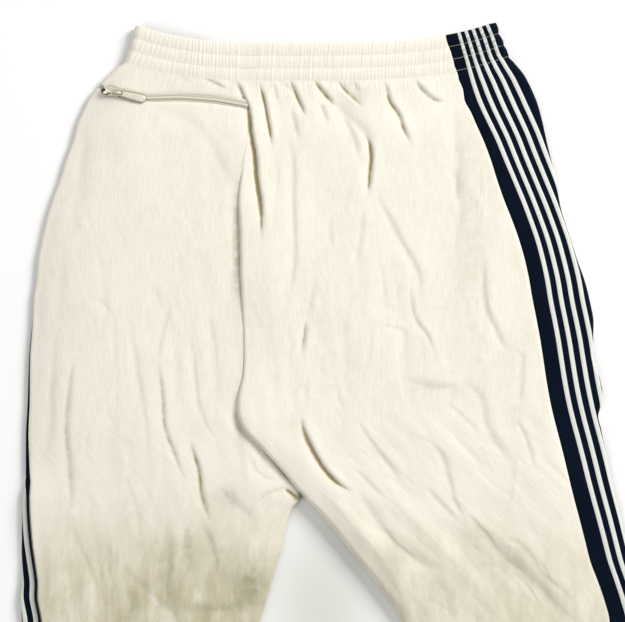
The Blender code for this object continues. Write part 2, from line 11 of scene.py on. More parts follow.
import bmesh
import bpy
import numpy as np
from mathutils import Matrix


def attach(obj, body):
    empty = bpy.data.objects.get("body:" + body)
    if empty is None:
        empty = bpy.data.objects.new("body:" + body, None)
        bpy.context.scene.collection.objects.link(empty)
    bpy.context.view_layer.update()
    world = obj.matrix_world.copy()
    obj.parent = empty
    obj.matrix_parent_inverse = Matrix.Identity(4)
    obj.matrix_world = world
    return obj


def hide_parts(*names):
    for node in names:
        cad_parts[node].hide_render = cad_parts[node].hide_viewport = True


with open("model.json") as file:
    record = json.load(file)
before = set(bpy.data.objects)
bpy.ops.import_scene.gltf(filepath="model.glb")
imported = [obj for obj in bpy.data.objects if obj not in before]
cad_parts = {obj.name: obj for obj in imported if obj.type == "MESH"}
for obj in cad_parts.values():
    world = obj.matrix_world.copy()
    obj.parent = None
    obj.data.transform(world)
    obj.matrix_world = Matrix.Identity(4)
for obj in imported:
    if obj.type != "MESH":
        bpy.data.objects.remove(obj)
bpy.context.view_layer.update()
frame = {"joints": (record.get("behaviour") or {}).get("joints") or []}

# %% [markdown]
# ## A table measured in millimetres
# Cloth is laid out on a table, so it is easiest to describe there: x to the right, y from the waist to the
# hems, z up. One function turns such points into the model's metres. The other way would be to write
# every size in metres with a turned y axis, which reads less well.

# %% The table's frame
MM = 0.001
CENTRE_X, CENTRE_Y = 321.45, 606.9  # the table point that is the model's origin


def to_world(points):
    """Table points in millimetres as points of the model in metres."""
    points = np.asarray(points, float)
    return np.stack((points[..., 0] - CENTRE_X, CENTRE_Y - points[..., 1], points[..., 2]), -1) * MM


def smooth(t):
    """0 up to t = 0, 1 from t = 1, and a soft step between."""
    t = np.clip(t, 0.0, 1.0)
    return t * t * (3 - 2 * t)


def curve_between(values, tangents, i, step, t):
    """A smooth curve from value i to the next one, at the share t of the step between them."""
    start = (1 + 2 * t) * (1 - t) ** 2 * values[i] + t * (1 - t) ** 2 * step * tangents[i]
    end = t * t * (3 - 2 * t) * values[i + 1] + t * t * (t - 1) * step * tangents[i + 1]
    return start + end


def through(rows, column):
    """A smooth function of y through one column of a table, with no overshoot between its rows."""
    ys, values = (np.array([row[c] for row in rows], float) for c in (0, column))
    steps = np.diff(ys)
    slopes = np.diff(values) / steps
    tangents = np.zeros(len(ys))
    tangents[0], tangents[-1] = slopes[0], slopes[-1]
    for i in range(1, len(ys) - 1):
        if slopes[i - 1] * slopes[i] > 0:
            before, after = 2 * steps[i] + steps[i - 1], steps[i] + 2 * steps[i - 1]
            tangents[i] = (before + after) / (before / slopes[i - 1] + after / slopes[i])

    def value(y):
        y = np.clip(y, ys[0], ys[-1])
        i = np.clip(np.searchsorted(ys, y, "right") - 1, 0, len(steps) - 1)
        return curve_between(values, tangents, i, steps[i], (y - ys[i]) / steps[i])

    return value


print("the origin lies at", (CENTRE_X, CENTRE_Y), "on the table")

# %% [markdown]
# ## The garment's measures
# The back of the pants is seen. Each half of the garment is a flattened tube of cloth. The tables give
# its folded outer edge, its inner edge, and where the navy side panel's seams run. They are short lists
# of measured rows, and smooth curves run through them.

# %% Driving dimensions
CLOTH, CASING_WALL, BRAID = 1.3, 2.8, 0.6  # how thick they are
WAIST_Y, CASING_HEIGHT, CHANNELS = 43.0, 38.0, 3
CASING_END = WAIST_Y + CASING_HEIGHT
CROTCH_X, CROTCH_Y, HEM_Y = 302.0, 496.0, 1190.0
PICTURE_END = 640.0  # below this the picture shows nothing, and the points lie further apart
GAP = 0.3  # between the side panel and the braid that it lies on
EDGE_ROLL, LOFT = 5.0, 3.5  # half the folded edge's height, and how far the back swells above it
# Half the folded edge's height in a channel, at the stitching and at the casing's end
CHANNEL_ROLL, STITCH_ROLL, CASING_SEAM_ROLL = 6.45, 6.1, 6.0
CHANNEL_BULGE = {"left": 0.5, "right": 1.7}  # how far each channel stands out beyond the stitching
LINES = 5

# The folded outer edges: y, x
LEFT_EDGE = (
    (25, 136), (48, 130), (58, 126.3), (63, 123), (67, 117.5), (73, 110.6), (82.7, 101.2),
    (88.8, 96), (93.6, 92), (100, 87.5), (110, 82.5), (124, 76.5), (140, 72.5),
    (160, 65), (180, 59), (200, 51.5), (220, 45.5), (240, 41), (260, 37), (280, 35.5), (300, 32.5),
    (320, 31.5), (360, 28), (400, 27), (440, 25), (480, 25), (500, 22), (540, 21), (580, 22),
    (600, 19.5), (622, 21), (720, 15), (850, 8), (1000, 0), (1190, -12),
)
RIGHT_EDGE = (
    (20.5, 494.6), (32.6, 498), (44.7, 503.3), (56.8, 508.5), (60, 512), (66, 517.3), (72, 522.6),
    (80, 527.6), (90, 532.5), (100, 536.8), (112, 540.6), (125, 543.8), (140, 547), (160, 551.8),
    (180, 556.2), (200, 559.5), (220, 565), (240, 571.6), (260, 578), (280, 584.8),
    (300, 590), (322, 593.8), (340, 594), (353, 592.6), (368, 597), (380, 600.8), (391, 603), (402, 602),
    (416, 598.8), (430, 602), (457, 607), (480, 611), (500, 616), (520, 621), (545, 627), (560, 632),
    (600, 643), (640, 648), (700, 650), (850, 653), (1190, 655),
)

# The centre back seam and, below the crotch, the inner leg edges: y, x on the left and right leg, how far
# each top layer rolls down there, and how much higher the right panel lies than the left one
INNER = (
    (43, 257, 257, 0, 0, 0), (81, 257, 257, 0, 0, 0), (100, 254, 254, 0, 0, 0),
    (140, 248, 248, 0, 0, 0.2), (172, 241.5, 241.5, 0, 0.8, 0.8), (200, 238.2, 238.2, 0, 2.4, 2.2),
    (220, 239, 239, 0, 2.8, 3), (245, 239.8, 239.8, 0, 2.8, 3), (270, 240.2, 240.2, 0, 2.8, 3),
    (290, 241.2, 241.2, 0, 2.6, 2.6), (310, 242.2, 242.2, 0, 2.2, 1.8), (330, 243.2, 243.2, 0, 1.8, 1),
    (352, 243.6, 243.6, 0, 1.8, 0.8), (374, 242.6, 242.6, 0, 1.8, 1.2), (386, 240, 240, 0, 2.2, 2),
    (398, 237.5, 237.5, 0, 2.6, 3), (409, 237.2, 237.2, 0.5, 3, 3.8), (422, 239.8, 239.8, 1, 3.4, 4.5),
    (445, 259, 259, 2, 3.6, 5), (474, 284, 284, 3, 4, 5), (496, 302, 302, 4, 5, 5),
    (511, 291, 317, 5, 6, 5), (550, 281, 349, 6, 7, 4.5), (585, 271, 377, 6, 7, 3.5),
    (622, 260, 401, 6, 6, 2), (690, 243, 418, 5, 5, 0), (780, 225, 432, 5, 5, 0),
    (880, 211, 440, 5, 5, 0), (1000, 200, 446, 5, 5, 0), (1190, 192, 451, 5, 5, 0),
)

# Where the back seam of the right side panel runs on the table: y, x
RIGHT_SEAM = (
    (20, 441.5), (34, 445), (40, 446), (50, 449.6), (60, 452.8), (66, 454), (72, 456.6), (80, 458.8),
    (90, 462.8), (100, 464.2), (112, 470.4), (125, 476), (140, 482.7), (160, 490.3), (180, 496.6),
    (200, 503.6), (220, 511.5), (240, 518.6), (260, 524.3), (280, 528.6), (300, 532), (320, 536),
    (340, 539.7), (360, 542.9), (380, 545.8), (400, 549.4), (420, 554), (440, 559.3), (460, 564.3),
    (480, 569), (500, 574), (520, 579.4), (540, 584.6), (560, 589.6), (580, 597), (600, 604), (622, 609),
    (700, 609), (850, 613), (1190, 617),
)

# Where the inner edge of its first braid line runs: y, x
RIGHT_LINE = (
    (20, 453), (30, 455.8), (40, 458.7), (50, 461.6), (60, 464.5), (72, 467.8), (80, 470), (90, 473.1),
    (100, 476.6), (112, 481.6), (125, 487.8), (140, 495), (160, 503.3), (180, 511.8), (200, 520.2),
    (220, 527.8), (240, 534.7), (260, 540), (280, 544.4), (300, 547.6), (320, 551.6), (340, 555.4),
    (360, 558.5), (380, 561.6), (400, 565.4), (420, 570.2), (440, 575.6), (460, 580.8), (480, 585.7),
    (500, 591), (520, 596.5), (540, 601.8), (560, 607), (580, 613.8), (600, 620.3), (622, 625.4),
    (700, 625.4), (850, 629.4), (1190, 633.4),
)

# Where the back seam of the left side panel runs, measured along the cloth from the folded edge,
# negative on top and positive underneath: y, offset
LEFT_SEAM = (
    (43, 8), (115, 8), (160, 7), (220, 5), (300, 1), (340, -2), (400, -4), (440, -5), (500, -8),
    (560, -14), (600, -20), (622, -23), (700, -27), (850, -31), (1190, -35),
)

# The side panel's parts: y, the panel's width, the left one's navy before the first line, a line's
# width, and the distance from one line to the next
PANEL = (
    (43, 66, 13, 3.2, 7.1), (56, 67, 12, 3.3, 7.4), (74, 70, 11.2, 3.5, 7.6), (84, 73, 10.6, 3.9, 8.3),
    (98, 77, 10.4, 4.3, 9.6), (114, 81, 10.6, 4.5, 10.2), (130, 81, 11.5, 4.6, 10.3),
    (160, 80, 12.6, 4.6, 10.2), (185, 80, 15.4, 4.6, 10.2), (220, 80, 16, 4.6, 10.3),
    (300, 80, 15.8, 4.6, 10.8), (440, 81, 16.3, 4.8, 11.3), (500, 81, 16.7, 4.8, 11.2),
    (560, 80, 16.3, 4.8, 10.8), (1190, 80, 16, 4.8, 10.7),
)

# How far a section's outer end lies above its inner end on the table: y, left, right
LIFT = ((43, 18, 21), (81, 19, 23.5), (115, 16, 18), (160, 8, 10), (220, 3, 4), (300, 0, 0), (1190, 0, 0))
LIFT_POWER = {"left": 2.3, "right": 4.2}

# On the left the side panel lies flat as a flange beyond the puffy leg: y and its width
FLANGE = ((450, 2.5), (500, 5), (540, 8.5), (580, 13), (622, 18), (700, 21), (1190, 24))
FLANGE_START, FLANGE_RUN, FLANGE_HALF, FLANGE_LIP = 450.0, 50.0, 3.3, 0.8
CLIMB_RUN, PUFF = 2.8, 3.0
LEGS_START, SEAM_RISE = 425.0, 2.4
LAP_FROM, LAP_RUN = 150.0, 40.0  # from there on y the right panel's edge ends a cloth's thickness lower
FRONT_RISE_FROM, FRONT_RISE_RUN = 470.0, 50.0  # where the front's inner edge comes up to the leg's seam
print("waistband", CASING_HEIGHT, "mm high,", LINES, "braid lines on each side panel")

# %% [markdown]
# ## Folds, listed one by one
# The light shows cloth by its folds. A fold in cloth at rest is rarely a plain groove: the cloth sinks
# slowly from one side, climbs steeply to a crest, and falls slowly again. Each row below is one such
# fold: its height, negative where the cloth sinks first, its reach to the west and the east of its line,
# and the line. A row with a positive height is a plain ridge. Simulated cloth would fold somewhere else.

# %% Folds of the back
TROUGH = 0.65  # a fold is a soft trough on its west side, and a crest on its east side takes the rest
CREST_FALL, TROUGH_POWER = 1.8, 1.15
NARROWEST = 0.6  # how narrow a fold gets at its ends
CREASE_FROM, CREASE_WIDEST = 0.95, 2.6  # folds deeper and steeper than this get shade painted into their creases
# How far west of a fold's line the shade painted in its crease lies, and its width, as shares of the west
# and east reach
CREASE_OFF, CREASE_WEST, CREASE_EAST = 0.08, 0.2, 0.25
FOLDS = (
    # height, west, east, line
    # under the waistband, left of the middle
    (-4.4, 5.0, 1.8, ((238, 80), (243, 96), (248, 108), (251, 132), (255, 156), (257, 180), (261, 206),
                        (262, 228), (262, 246))),
    (-3.2, 3.0, 1.4, ((259, 80), (264, 100), (269, 126), (273, 150))),
    (-0.6, 3.0, 1.4, ((273, 148), (277.5, 175), (275, 200), (273, 232))),
    (-1.1, 2.5, 1.2, ((273, 82), (275, 90), (278, 103))),
    (-1.0, 2.5, 1.2, ((283, 82), (287, 87), (294, 94))),
    (-2.4, 3.7, 1.7, ((290, 76), (293, 86), (299, 101), (307, 118))),
    (-1.2, 4.9, 1.9, ((291, 108), (296, 128), (299, 141))),
    (-1.8, 6.5, 2.8, ((287, 130), (291.5, 155), (292, 200), (292, 275), (288, 300), (286, 314))),
    (-1.2, 3.7, 1.3, ((172, 63), (180, 73), (192, 84))),
    (-1.9, 4.1, 1.4, ((193, 69), (209, 79), (229, 90))),
    (-1.6, 3.7, 1.3, ((235, 78), (241, 90), (248, 106))),
    (-1.3, 13.2, 7.0, ((158, 114), (185, 122), (207, 143), (222, 172), (236, 196))),
    (-0.8, 10.6, 8.4, ((205, 125), (222, 138), (228, 150))),
    (-0.8, 7.9, 6.3, ((80, 120), (80, 160), (74, 215), (76, 240))),
    (-0.6, 6.7, 5.6, ((93, 250), (104, 276), (101, 292), (111, 318))),
    (-0.6, 4.9, 2.8, ((177, 248), (181, 280))),
    (-0.4, 6.7, 5.6, ((196, 190), (190, 235), (178, 262))),
    (-0.5, 4.9, 2.8, ((153, 282), (162, 314))),
    (-0.8, 11.8, 6.3, ((62, 240), (59, 300), (57, 330))),
    # under the waistband, right of the middle
    (-2.3, 4.1, 1.9, ((314, 76), (319, 87), (327, 97), (337, 107))),
    (-1.3, 3.3, 1.7, ((319, 102), (324, 112), (327, 125))),
    (-2.0, 5.2, 1.6, ((364, 109), (354, 99), (344, 90), (336, 78))),
    (-1.2, 3.0, 1.2, ((353, 78), (355, 84), (359, 94))),
    (-1.7, 9.0, 5.0, ((334, 100), (345, 117), (358, 128), (367, 140), (371, 158))),
    (-3.2, 4.0, 1.5, ((364, 133), (369, 142), (371, 154), (369.5, 178), (368, 197))),
    (-1.2, 4.9, 2.2, ((341, 112), (350, 130), (356, 145), (359, 163))),
    (-2.3, 3.7, 1.7, ((383, 76), (386, 86), (390, 102), (398, 114), (404, 130), (413, 148))),
    (-1.9, 4.1, 1.7, ((414, 78), (422, 90), (433, 99), (446, 102))),
    (-1.7, 9.0, 6.0, ((454, 96), (452, 124), (455, 160), (458, 200), (454, 235), (453, 262))),
    (-1.2, 6.7, 1.7, ((455, 165), (457, 190), (457, 205))),
    (-1.6, 7.5, 3.4, ((373, 190), (384, 212), (396, 236), (410, 260), (417, 274), (418, 306))),
    (-1.3, 3.0, 1.3, ((411, 280), (412, 305), (415, 317), (430, 340), (436, 362))),
    (-0.9, 4.1, 1.9, ((468, 262), (456, 286), (441, 308))),
    (-0.7, 3.3, 1.7, ((376, 252), (382, 277), (385, 314))),
    (-0.6, 4.9, 2.2, ((397, 278), (396, 304))),
    (-2.2, 8.0, 3.2, ((484, 250), (482, 286), (485, 310), (493, 328), (502, 345), (514, 353))),
    (-1.0, 3.7, 1.8, ((363, 198), (360, 238), (353, 272))),
    (-0.8, 3.3, 1.7, ((331, 214), (330, 240), (334, 252))),
    (-1.0, 4.1, 1.9, ((318, 272), (310, 300), (305, 320))),
    (-1.8, 3.7, 1.7, ((306, 318), (305, 335), (301, 358))),
    (-0.7, 9.2, 6.3, ((350, 165), (342, 205), (332, 222))),
    (-0.5, 11.8, 6.3, ((468, 185), (475, 250))),
    # left leg
    (-1.5, 7.9, 4.9, ((56, 322), (50, 385), (49, 425), (40, 468))),
    (-1.4, 6.3, 2.4, ((76, 345), (70, 392), (67, 424), (70, 465), (72, 496), (72, 520))),
    (-0.8, 5.9, 2.5, ((70, 512), (67, 530), (60, 552), (60, 575))),
    (-1.0, 4.9, 2.5, ((71, 512), (77, 540), (87, 562), (100, 592))),
    (-0.7, 4.1, 2.2, ((99, 298), (111, 316))),
    (-0.5, 4.9, 2.2, ((114, 312), (115, 368))),
    (-0.9, 6.9, 2.8, ((126, 306), (134, 350), (139, 382), (146, 432), (149, 474))),
    (-1.0, 4.9, 2.2, ((172, 298), (161, 340), (157, 365))),
    (-1.6, 4.6, 1.7, ((158, 355), (163, 393), (166, 429), (175, 453), (188, 486))),
    (-0.7, 4.9, 2.2, ((207, 305), (215, 355), (216, 398))),
    (-0.9, 4.1, 2.2, ((194, 348), (195, 382), (205, 424), (222, 446))),
    (-2.2, 5.2, 1.7, ((190, 436), (195, 454), (200, 472), (202, 492), (212, 524))),
    (-0.4, 4.9, 2.2, ((115, 380), (117, 455))),
    (-0.8, 4.9, 2.2, ((125, 472), (135, 506), (143, 540))),
    (-1.7, 10.6, 5.6, ((213, 486), (227, 500), (242, 512), (258, 526))),
    (-0.8, 4.3, 1.8, ((248, 448), (257, 472), (268, 479), (286, 477))),
    (-1.2, 4.1, 1.7, ((253, 505), (266, 494), (292, 486))),
    (-3.2, 2.6, 2.2, ((284, 488), (293, 494), (301, 502))),
    (-1.7, 7.9, 4.9, ((166, 516), (168, 560), (164, 588), (173, 616))),
    (-1.2, 4.9, 2.2, ((187, 522), (185, 560))),
    (-1.4, 5.9, 2.5, ((201, 520), (214, 548), (219, 580))),
    (-1.5, 10.2, 5.2, ((116, 556), (131, 577), (150, 595), (176, 620), (190, 650))),
    (-1.5, 11.8, 6.3, ((131, 585), (133, 615), (138, 650))),
    (-0.9, 4.1, 1.9, ((109, 538), (109, 584))),
    (2.4, 6.0, 5.0, ((261, 526), (247, 556), (229, 592))),
    (-1.5, 6.7, 2.8, ((272, 512), (261, 553), (243, 580), (234, 604))),
    (-0.6, 5.1, 2.4, ((188, 600), (212, 610), (240, 606))),
    # right leg
    (-1.5, 9.2, 4.9, ((398, 378), (430, 389), (462, 387))),
    (-1.7, 6.7, 4.9, ((458, 379), (477, 396), (484, 424), (496, 447), (516, 468))),
    (-0.7, 3.3, 1.7, ((443, 400), (460, 415), (476, 432))),
    (-1.1, 4.9, 1.9, ((521, 342), (521, 380), (518, 412))),
    (-1.2, 3.3, 1.5, ((514, 417), (525, 436), (534, 468))),
    (0.8, 2.0, 2.5, ((517, 446), (515, 480), (510, 515))),
    (-3.8, 5.0, 1.9, ((301, 412), (305, 432), (314, 452), (324, 468), (336, 481), (354, 492))),
    (-3.0, 11.0, 7.5, ((352, 486), (368, 512), (389, 540), (410, 558), (430, 568), (446, 566))),
    (-1.5, 4.9, 2.8, ((353, 412), (367, 438), (384, 460), (405, 490))),
    (-0.8, 3.3, 1.4, ((349, 464), (367, 481), (387, 502))),
    (-1.8, 6.7, 2.8, ((426, 438), (440, 454), (447, 476), (453, 500), (466, 524))),
    (-3.0, 12.0, 8.0, ((456, 510), (486, 541), (510, 565), (531, 586), (551, 606), (566, 628))),
    (-1.1, 4.9, 2.2, ((424, 484), (440, 503), (458, 520))),
    (-1.1, 6.9, 3.0, ((495, 543), (513, 541), (527, 553), (542, 576), (560, 590), (578, 610))),
    (-0.8, 3.3, 1.4, ((540, 560), (551, 584))),
    (-1.0, 3.2, 1.4, ((462, 508), (486, 534), (502, 556))),
    (-0.8, 3.0, 1.3, ((505, 566), (530, 590), (541, 612))),
    (-0.8, 3.0, 1.3, ((378, 520), (398, 545), (420, 560))),
    (-0.7, 4.9, 2.2, ((409, 566), (412, 590))),
    (-1.5, 11.8, 6.3, ((434, 572), (444, 600), (456, 630))),
    (-0.5, 3.3, 1.7, ((479, 444), (492, 478))),
    (-0.8, 3.3, 1.7, ((334, 378), (342, 412))),
    (-0.5, 3.3, 1.4, ((373, 334), (367, 362))),
    (-0.6, 4.1, 1.4, ((374, 325), (388, 327), (402, 330), (405, 352))),
    (1.8, 9.0, 9.0, ((318, 480), (345, 515), (372, 545), (395, 580), (415, 640))),
    (2.0, 12.0, 12.0, ((372, 470), (405, 510), (440, 545), (480, 590), (510, 640))),
    # below the picture
    (-2.4, 11.8, 7.7, ((70, 690), (120, 740), (190, 745))),
    (-2.2, 10.6, 7.7, ((60, 830), (110, 850), (170, 820))),
    (-1.5, 6.7, 4.9, ((120, 650), (128, 700), (118, 770))),
    (-1.3, 5.3, 4.2, ((190, 660), (182, 720), (196, 790))),
    (-1.7, 6.7, 4.9, ((150, 790), (140, 860), (150, 930))),
    (-1.3, 6.7, 4.2, ((90, 880), (98, 960), (88, 1010))),
    (-1.8, 11.8, 7.7, ((80, 960), (100, 1040), (95, 1120))),
    (-1.3, 5.3, 4.2, ((160, 940), (150, 1020), (156, 1090))),
    (-1.2, 6.7, 4.2, ((50, 700), (44, 780), (46, 860))),
    (-2.4, 11.8, 7.7, ((490, 760), (560, 745), (610, 700))),
    (-2.2, 10.6, 7.7, ((480, 850), (540, 850), (590, 880))),
    (-1.7, 6.7, 4.9, ((470, 650), (482, 720), (470, 790))),
    (-1.3, 6.7, 4.2, ((540, 640), (548, 700), (566, 760))),
    (-1.5, 6.7, 4.9, ((510, 790), (520, 860), (506, 930))),
    (-1.8, 11.8, 7.7, ((545, 950), (560, 1040), (552, 1130))),
    (-1.3, 5.3, 4.2, ((490, 930), (500, 1010), (492, 1080))),
    (-1.2, 6.7, 4.2, ((600, 900), (606, 980), (598, 1070))),
)


def spline(points, step=1.5):
    """Points every step millimetres along a smooth line through the given ones."""
    points = np.array(points, float)
    walked = np.r_[0, np.cumsum(np.linalg.norm(np.diff(points, axis=0), axis=1))]
    tangents = np.gradient(points, walked, axis=0)
    at = np.linspace(0, walked[-1], max(int(walked[-1] / step), 2) + 1)
    i = np.clip(np.searchsorted(walked, at, "right") - 1, 0, len(points) - 2)
    span = (walked[i + 1] - walked[i])[:, None]
    return curve_between(points, tangents, i, span, (at - walked[i])[:, None] / span)


class Fold:
    """A trough or a ridge along a line on the table."""

    def __init__(self, height, west, east, line, fade=0.3):
        self.height, self.west, self.east, self.fade = height, west, east, fade
        self.line = spline(line)
        tangents = np.gradient(self.line, axis=0)
        self.tangents = tangents / np.linalg.norm(tangents, axis=1)[:, None]
        self.step = np.linalg.norm(np.diff(self.line, axis=0), axis=1).mean()
        reach = 3 * max(west, east)
        self.low, self.high = self.line.min(0) - reach, self.line.max(0) + reach

    def near(self, x, y):
        """The points near the fold, how far they lie across it, its strength there and its two reaches."""
        near = (x > self.low[0]) & (x < self.high[0]) & (y > self.low[1]) & (y < self.high[1])
        off_x = x[near][:, None] - self.line[None, :, 0]
        off_y = y[near][:, None] - self.line[None, :, 1]
        nearest = (off_x**2 + off_y**2).argmin(1)
        rows = np.arange(len(nearest))
        off_x, off_y, way = off_x[rows, nearest], off_y[rows, nearest], self.tangents[nearest]
        across = way[:, 1] * off_x - way[:, 0] * off_y
        share = (nearest + (way[:, 0] * off_x + way[:, 1] * off_y) / self.step) / (len(self.line) - 1)
        strength = smooth(share / self.fade) * smooth((1 - share) / self.fade)
        narrowing = NARROWEST + (1 - NARROWEST) * strength
        return near, across, strength, self.west * narrowing, self.east * narrowing

    def add_height(self, relief, x, y):
        """Adds the fold to the heights of the points x, y."""
        near, across, strength, west, east = self.near(x, y)
        fall_west, fall_east = np.abs(across / west) ** TROUGH_POWER, (across / east) ** 2
        trough = np.exp(-np.where(across < 0, fall_west, fall_east))
        past = np.clip(across - 2 * east, 0, None)
        crest = smooth(across / (2 * east)) * np.exp(-((past / (CREST_FALL * west)) ** 2))
        shape = TROUGH * trough - (1 - TROUGH) * crest if self.height < 0 else trough
        relief[near] += self.height * strength * shape

    def add_crease(self, crease, x, y):
        """Adds how deep in the fold the points x, y lie, which sets how much shade is painted there."""
        near, across, strength, west, east = self.near(x, y)
        width = CREASE_WEST * west + CREASE_EAST * east
        inside = np.exp(-(((across + CREASE_OFF * west) / width) ** 2))
        crease[near] += (-self.height - CREASE_FROM) * strength * inside


folds = [Fold(*row) for row in FOLDS]
# The folds that get shade painted into their creases
deep_folds = [fold for fold in folds if fold.height < -CREASE_FROM and fold.east < CREASE_WIDEST]
print(len(folds), "folds drawn by hand,", len(deep_folds), "of them deep")

# %% [markdown]
# ## Small wrinkles
# Between the large folds, worn jersey carries many faint short wrinkles. Nobody would draw those one by
# one, so a seeded random generator scatters them over areas, each area with its own main direction.

# %% Scattered wrinkles
WRINKLE_AREAS = (
    # x from, x to, y from, y to, direction in degrees from straight down, spread, how many, height
    (50, 235, 240, 500, 4, 16, 150, 0.2),
    (60, 250, 480, 640, -6, 22, 130, 0.28),
    (70, 230, 110, 240, 10, 35, 60, 0.18),
    (290, 350, 290, 425, -14, 26, 90, 0.28),
    (265, 480, 110, 290, -8, 18, 110, 0.22),
    (350, 520, 290, 430, 20, 45, 90, 0.24),
    (330, 560, 430, 640, 42, 20, 150, 0.22),
    (240, 310, 260, 430, 8, 14, 50, 0.26),
    (20, 240, 640, 1170, 5, 25, 150, 0.5),
    (400, 640, 640, 1170, -5, 25, 150, 0.5),
)
# Soft unevenness, then crinkles that meet in sharp lines: the size of the bumps across and down, their
# direction and their height, straight down and at a slant
UNEVEN = ((30, 80, 6, 0.85), (14, 36, -8, 0.27), (8, 16, 12, 0.08))
UNEVEN_SLANTED = ((26, 60, 40, 0.65), (13, 30, 48, 0.24), (8, 14, 35, 0.08))
CRINKLES = ((19, 95, 5, 0.75), (11, 42, -8, 0.32))
CRINKLES_SLANTED = ((18, 80, 42, 0.75), (10, 36, 50, 0.3))
CRINKLED_FROM, CRINKLED_RUN = 200.0, 130.0  # where on y they grow, and how soon they are all there
CRINKLED_LEAST = 0.25
# Where the slant begins on x and y and ends on y, each with its run
SLANT_X, SLANT_Y, SLANT_END = (300, 70), (390, 60), (760, 100)
WRINKLE_LENGTHS, WRINKLE_REACHES, WRINKLE_DEPTHS = (10, 34), (1.4, 3.6), (0.4, 1.6)
WRINKLE_BOW, WRINKLE_FADE = 1.5, 0.5
scatter = np.random.default_rng(7)


def wrinkles_over(x_from, x_to, y_from, y_to, direction, spread, count, height):
    """Short faint folds scattered over an area of the table."""
    made = []
    for _ in range(count):
        start = scatter.uniform((x_from, y_from), (x_to, y_to))
        turn = math.radians(scatter.normal(direction, spread))
        length, bow = scatter.uniform(*WRINKLE_LENGTHS), scatter.normal(0, WRINKLE_BOW)
        way = np.array((math.sin(turn), math.cos(turn)))
        middle = start + way * length / 2 + bow * np.array((way[1], -way[0]))
        deep = height * scatter.uniform(*WRINKLE_DEPTHS) * scatter.choice((-1, -1, 1))
        west, east = scatter.uniform(*WRINKLE_REACHES, 2)
        made.append(Fold(deep, west, east, (start, middle, start + way * length), WRINKLE_FADE))
    return made


def cloudy(x, y, across, down, turn, lattice):
    """Smooth random heights from -1 to 1 at the points x, y, in bumps of one size and direction."""
    turn, size = math.radians(turn), len(lattice)
    u = (x * math.cos(turn) - y * math.sin(turn)) / across
    v = (x * math.sin(turn) + y * math.cos(turn)) / down
    column, row = np.floor(u).astype(int), np.floor(v).astype(int)
    right, low = smooth(u - column), smooth(v - row)
    corners = [[lattice[(row + j) % size, (column + i) % size] for i in (0, 1)] for j in (0, 1)]
    upper, lower = (first + (second - first) * right for first, second in corners)
    return upper + (lower - upper) * low


lattices = [scatter.uniform(-1, 1, (97, 97)) for _ in range(5)]


def layers_of(table, x, y):
    """Each layer's height and its random shape at the points x, y."""
    for (across, down, turn, height), lattice in zip(table, lattices):
        yield height, cloudy(x, y, across, down, turn, lattice)


def unevenness(x, y):
    """The unevenness of worn cloth. It runs at a slant on the right leg's upper part."""
    slanted = smooth((x - SLANT_X[0]) / SLANT_X[1]) * smooth((y - SLANT_Y[0]) / SLANT_Y[1])
    slanted = slanted * smooth((SLANT_END[0] - y) / SLANT_END[1])
    crinkled = CRINKLED_LEAST + (1 - CRINKLED_LEAST) * smooth((y - CRINKLED_FROM) / CRINKLED_RUN)
    total = 0 * x
    ways = ((1 - slanted, UNEVEN, CRINKLES), (slanted, UNEVEN_SLANTED, CRINKLES_SLANTED))
    for share, soft, sharp in ways:
        total = total + share * sum(height * shape for height, shape in layers_of(soft, x, y))
        folded = sum(height * np.abs(shape) for height, shape in layers_of(sharp, x, y))
        total = total + share * crinkled * folded
    return total


wrinkles = [wrinkle for area in WRINKLE_AREAS for wrinkle in wrinkles_over(*area)]
print(len(wrinkles), "small wrinkles scattered")

# %% [markdown]
# ## Gathers
# The elastic draws the cloth together, so the waistband is covered with fine upright pleats, and they
# run on a little way into the legs. A pleat profile is a long row of narrow bumps of uneven width. One
# short stretch left of the middle lies smooth.

# %% Gather profiles
GATHER_LENGTH, GATHER_STEP = 900.0, 0.1  # how much profile is made round the waist, and how finely
PLEAT_SPACING, PLEAT_SPREAD = 3.3, 0.5  # millimetres between pleats, and the share by which that varies
PLEAT_COUNT, PLEAT_SIZES, PLEAT_SHARPNESS = 400, (0.35, 1.0), 1.5
PLEAT_SEEDS = (11, 12, 13, 14)  # one for each channel, and one for what the channels and the legs share
SMOOTH_TO = {"left": 18.0, "right": 1.5}  # how far from the centre back the band lies ungathered
BELOW_WAIST = 16.0  # how far the pleats run into the legs
# Where each half starts to read the profiles, in the band and below it
BAND_PLEATS_FROM, LEG_PLEATS_FROM = {"left": 10, "right": 330}, {"left": 20, "right": 300}
gather_at = np.arange(0, GATHER_LENGTH, GATHER_STEP)


def pleat_profile(seed):
    """Heights from 0 to 1 at each place of gather_at, in bumps of uneven width."""
    chance = np.random.default_rng(seed)
    least, most = PLEAT_SPACING * (1 - PLEAT_SPREAD), PLEAT_SPACING * (1 + PLEAT_SPREAD)
    edges = np.cumsum(chance.uniform(least, most, PLEAT_COUNT))
    size = chance.uniform(*PLEAT_SIZES, PLEAT_COUNT + 1)
    bump = np.searchsorted(edges, gather_at)
    starts = np.r_[0, edges]
    phase = (gather_at - starts[bump]) / (edges[bump] - starts[bump])
    return size[bump] * np.sin(np.pi * np.clip(phase, 0, 1)) ** PLEAT_SHARPNESS


def pleats_at(row, where):
    """A profile read at where, in millimetres round the waist."""
    return np.interp(np.mod(where, GATHER_LENGTH - 1), gather_at, profiles[row])


profiles = [pleat_profile(seed) for seed in PLEAT_SEEDS]
print(len(profiles), "rows of pleats, about", PLEAT_SPACING, "mm apart")

# %% [markdown]
# ## Sections of cloth
# Each half of the garment is a stack of closed sections. A place on a section is its distance along
# the cloth: from the inner seam over the back, round the folded edge and in again under the front. On
# the left leg the side panel lies flat as a flange, and the cloth climbs from it to the puffy leg.

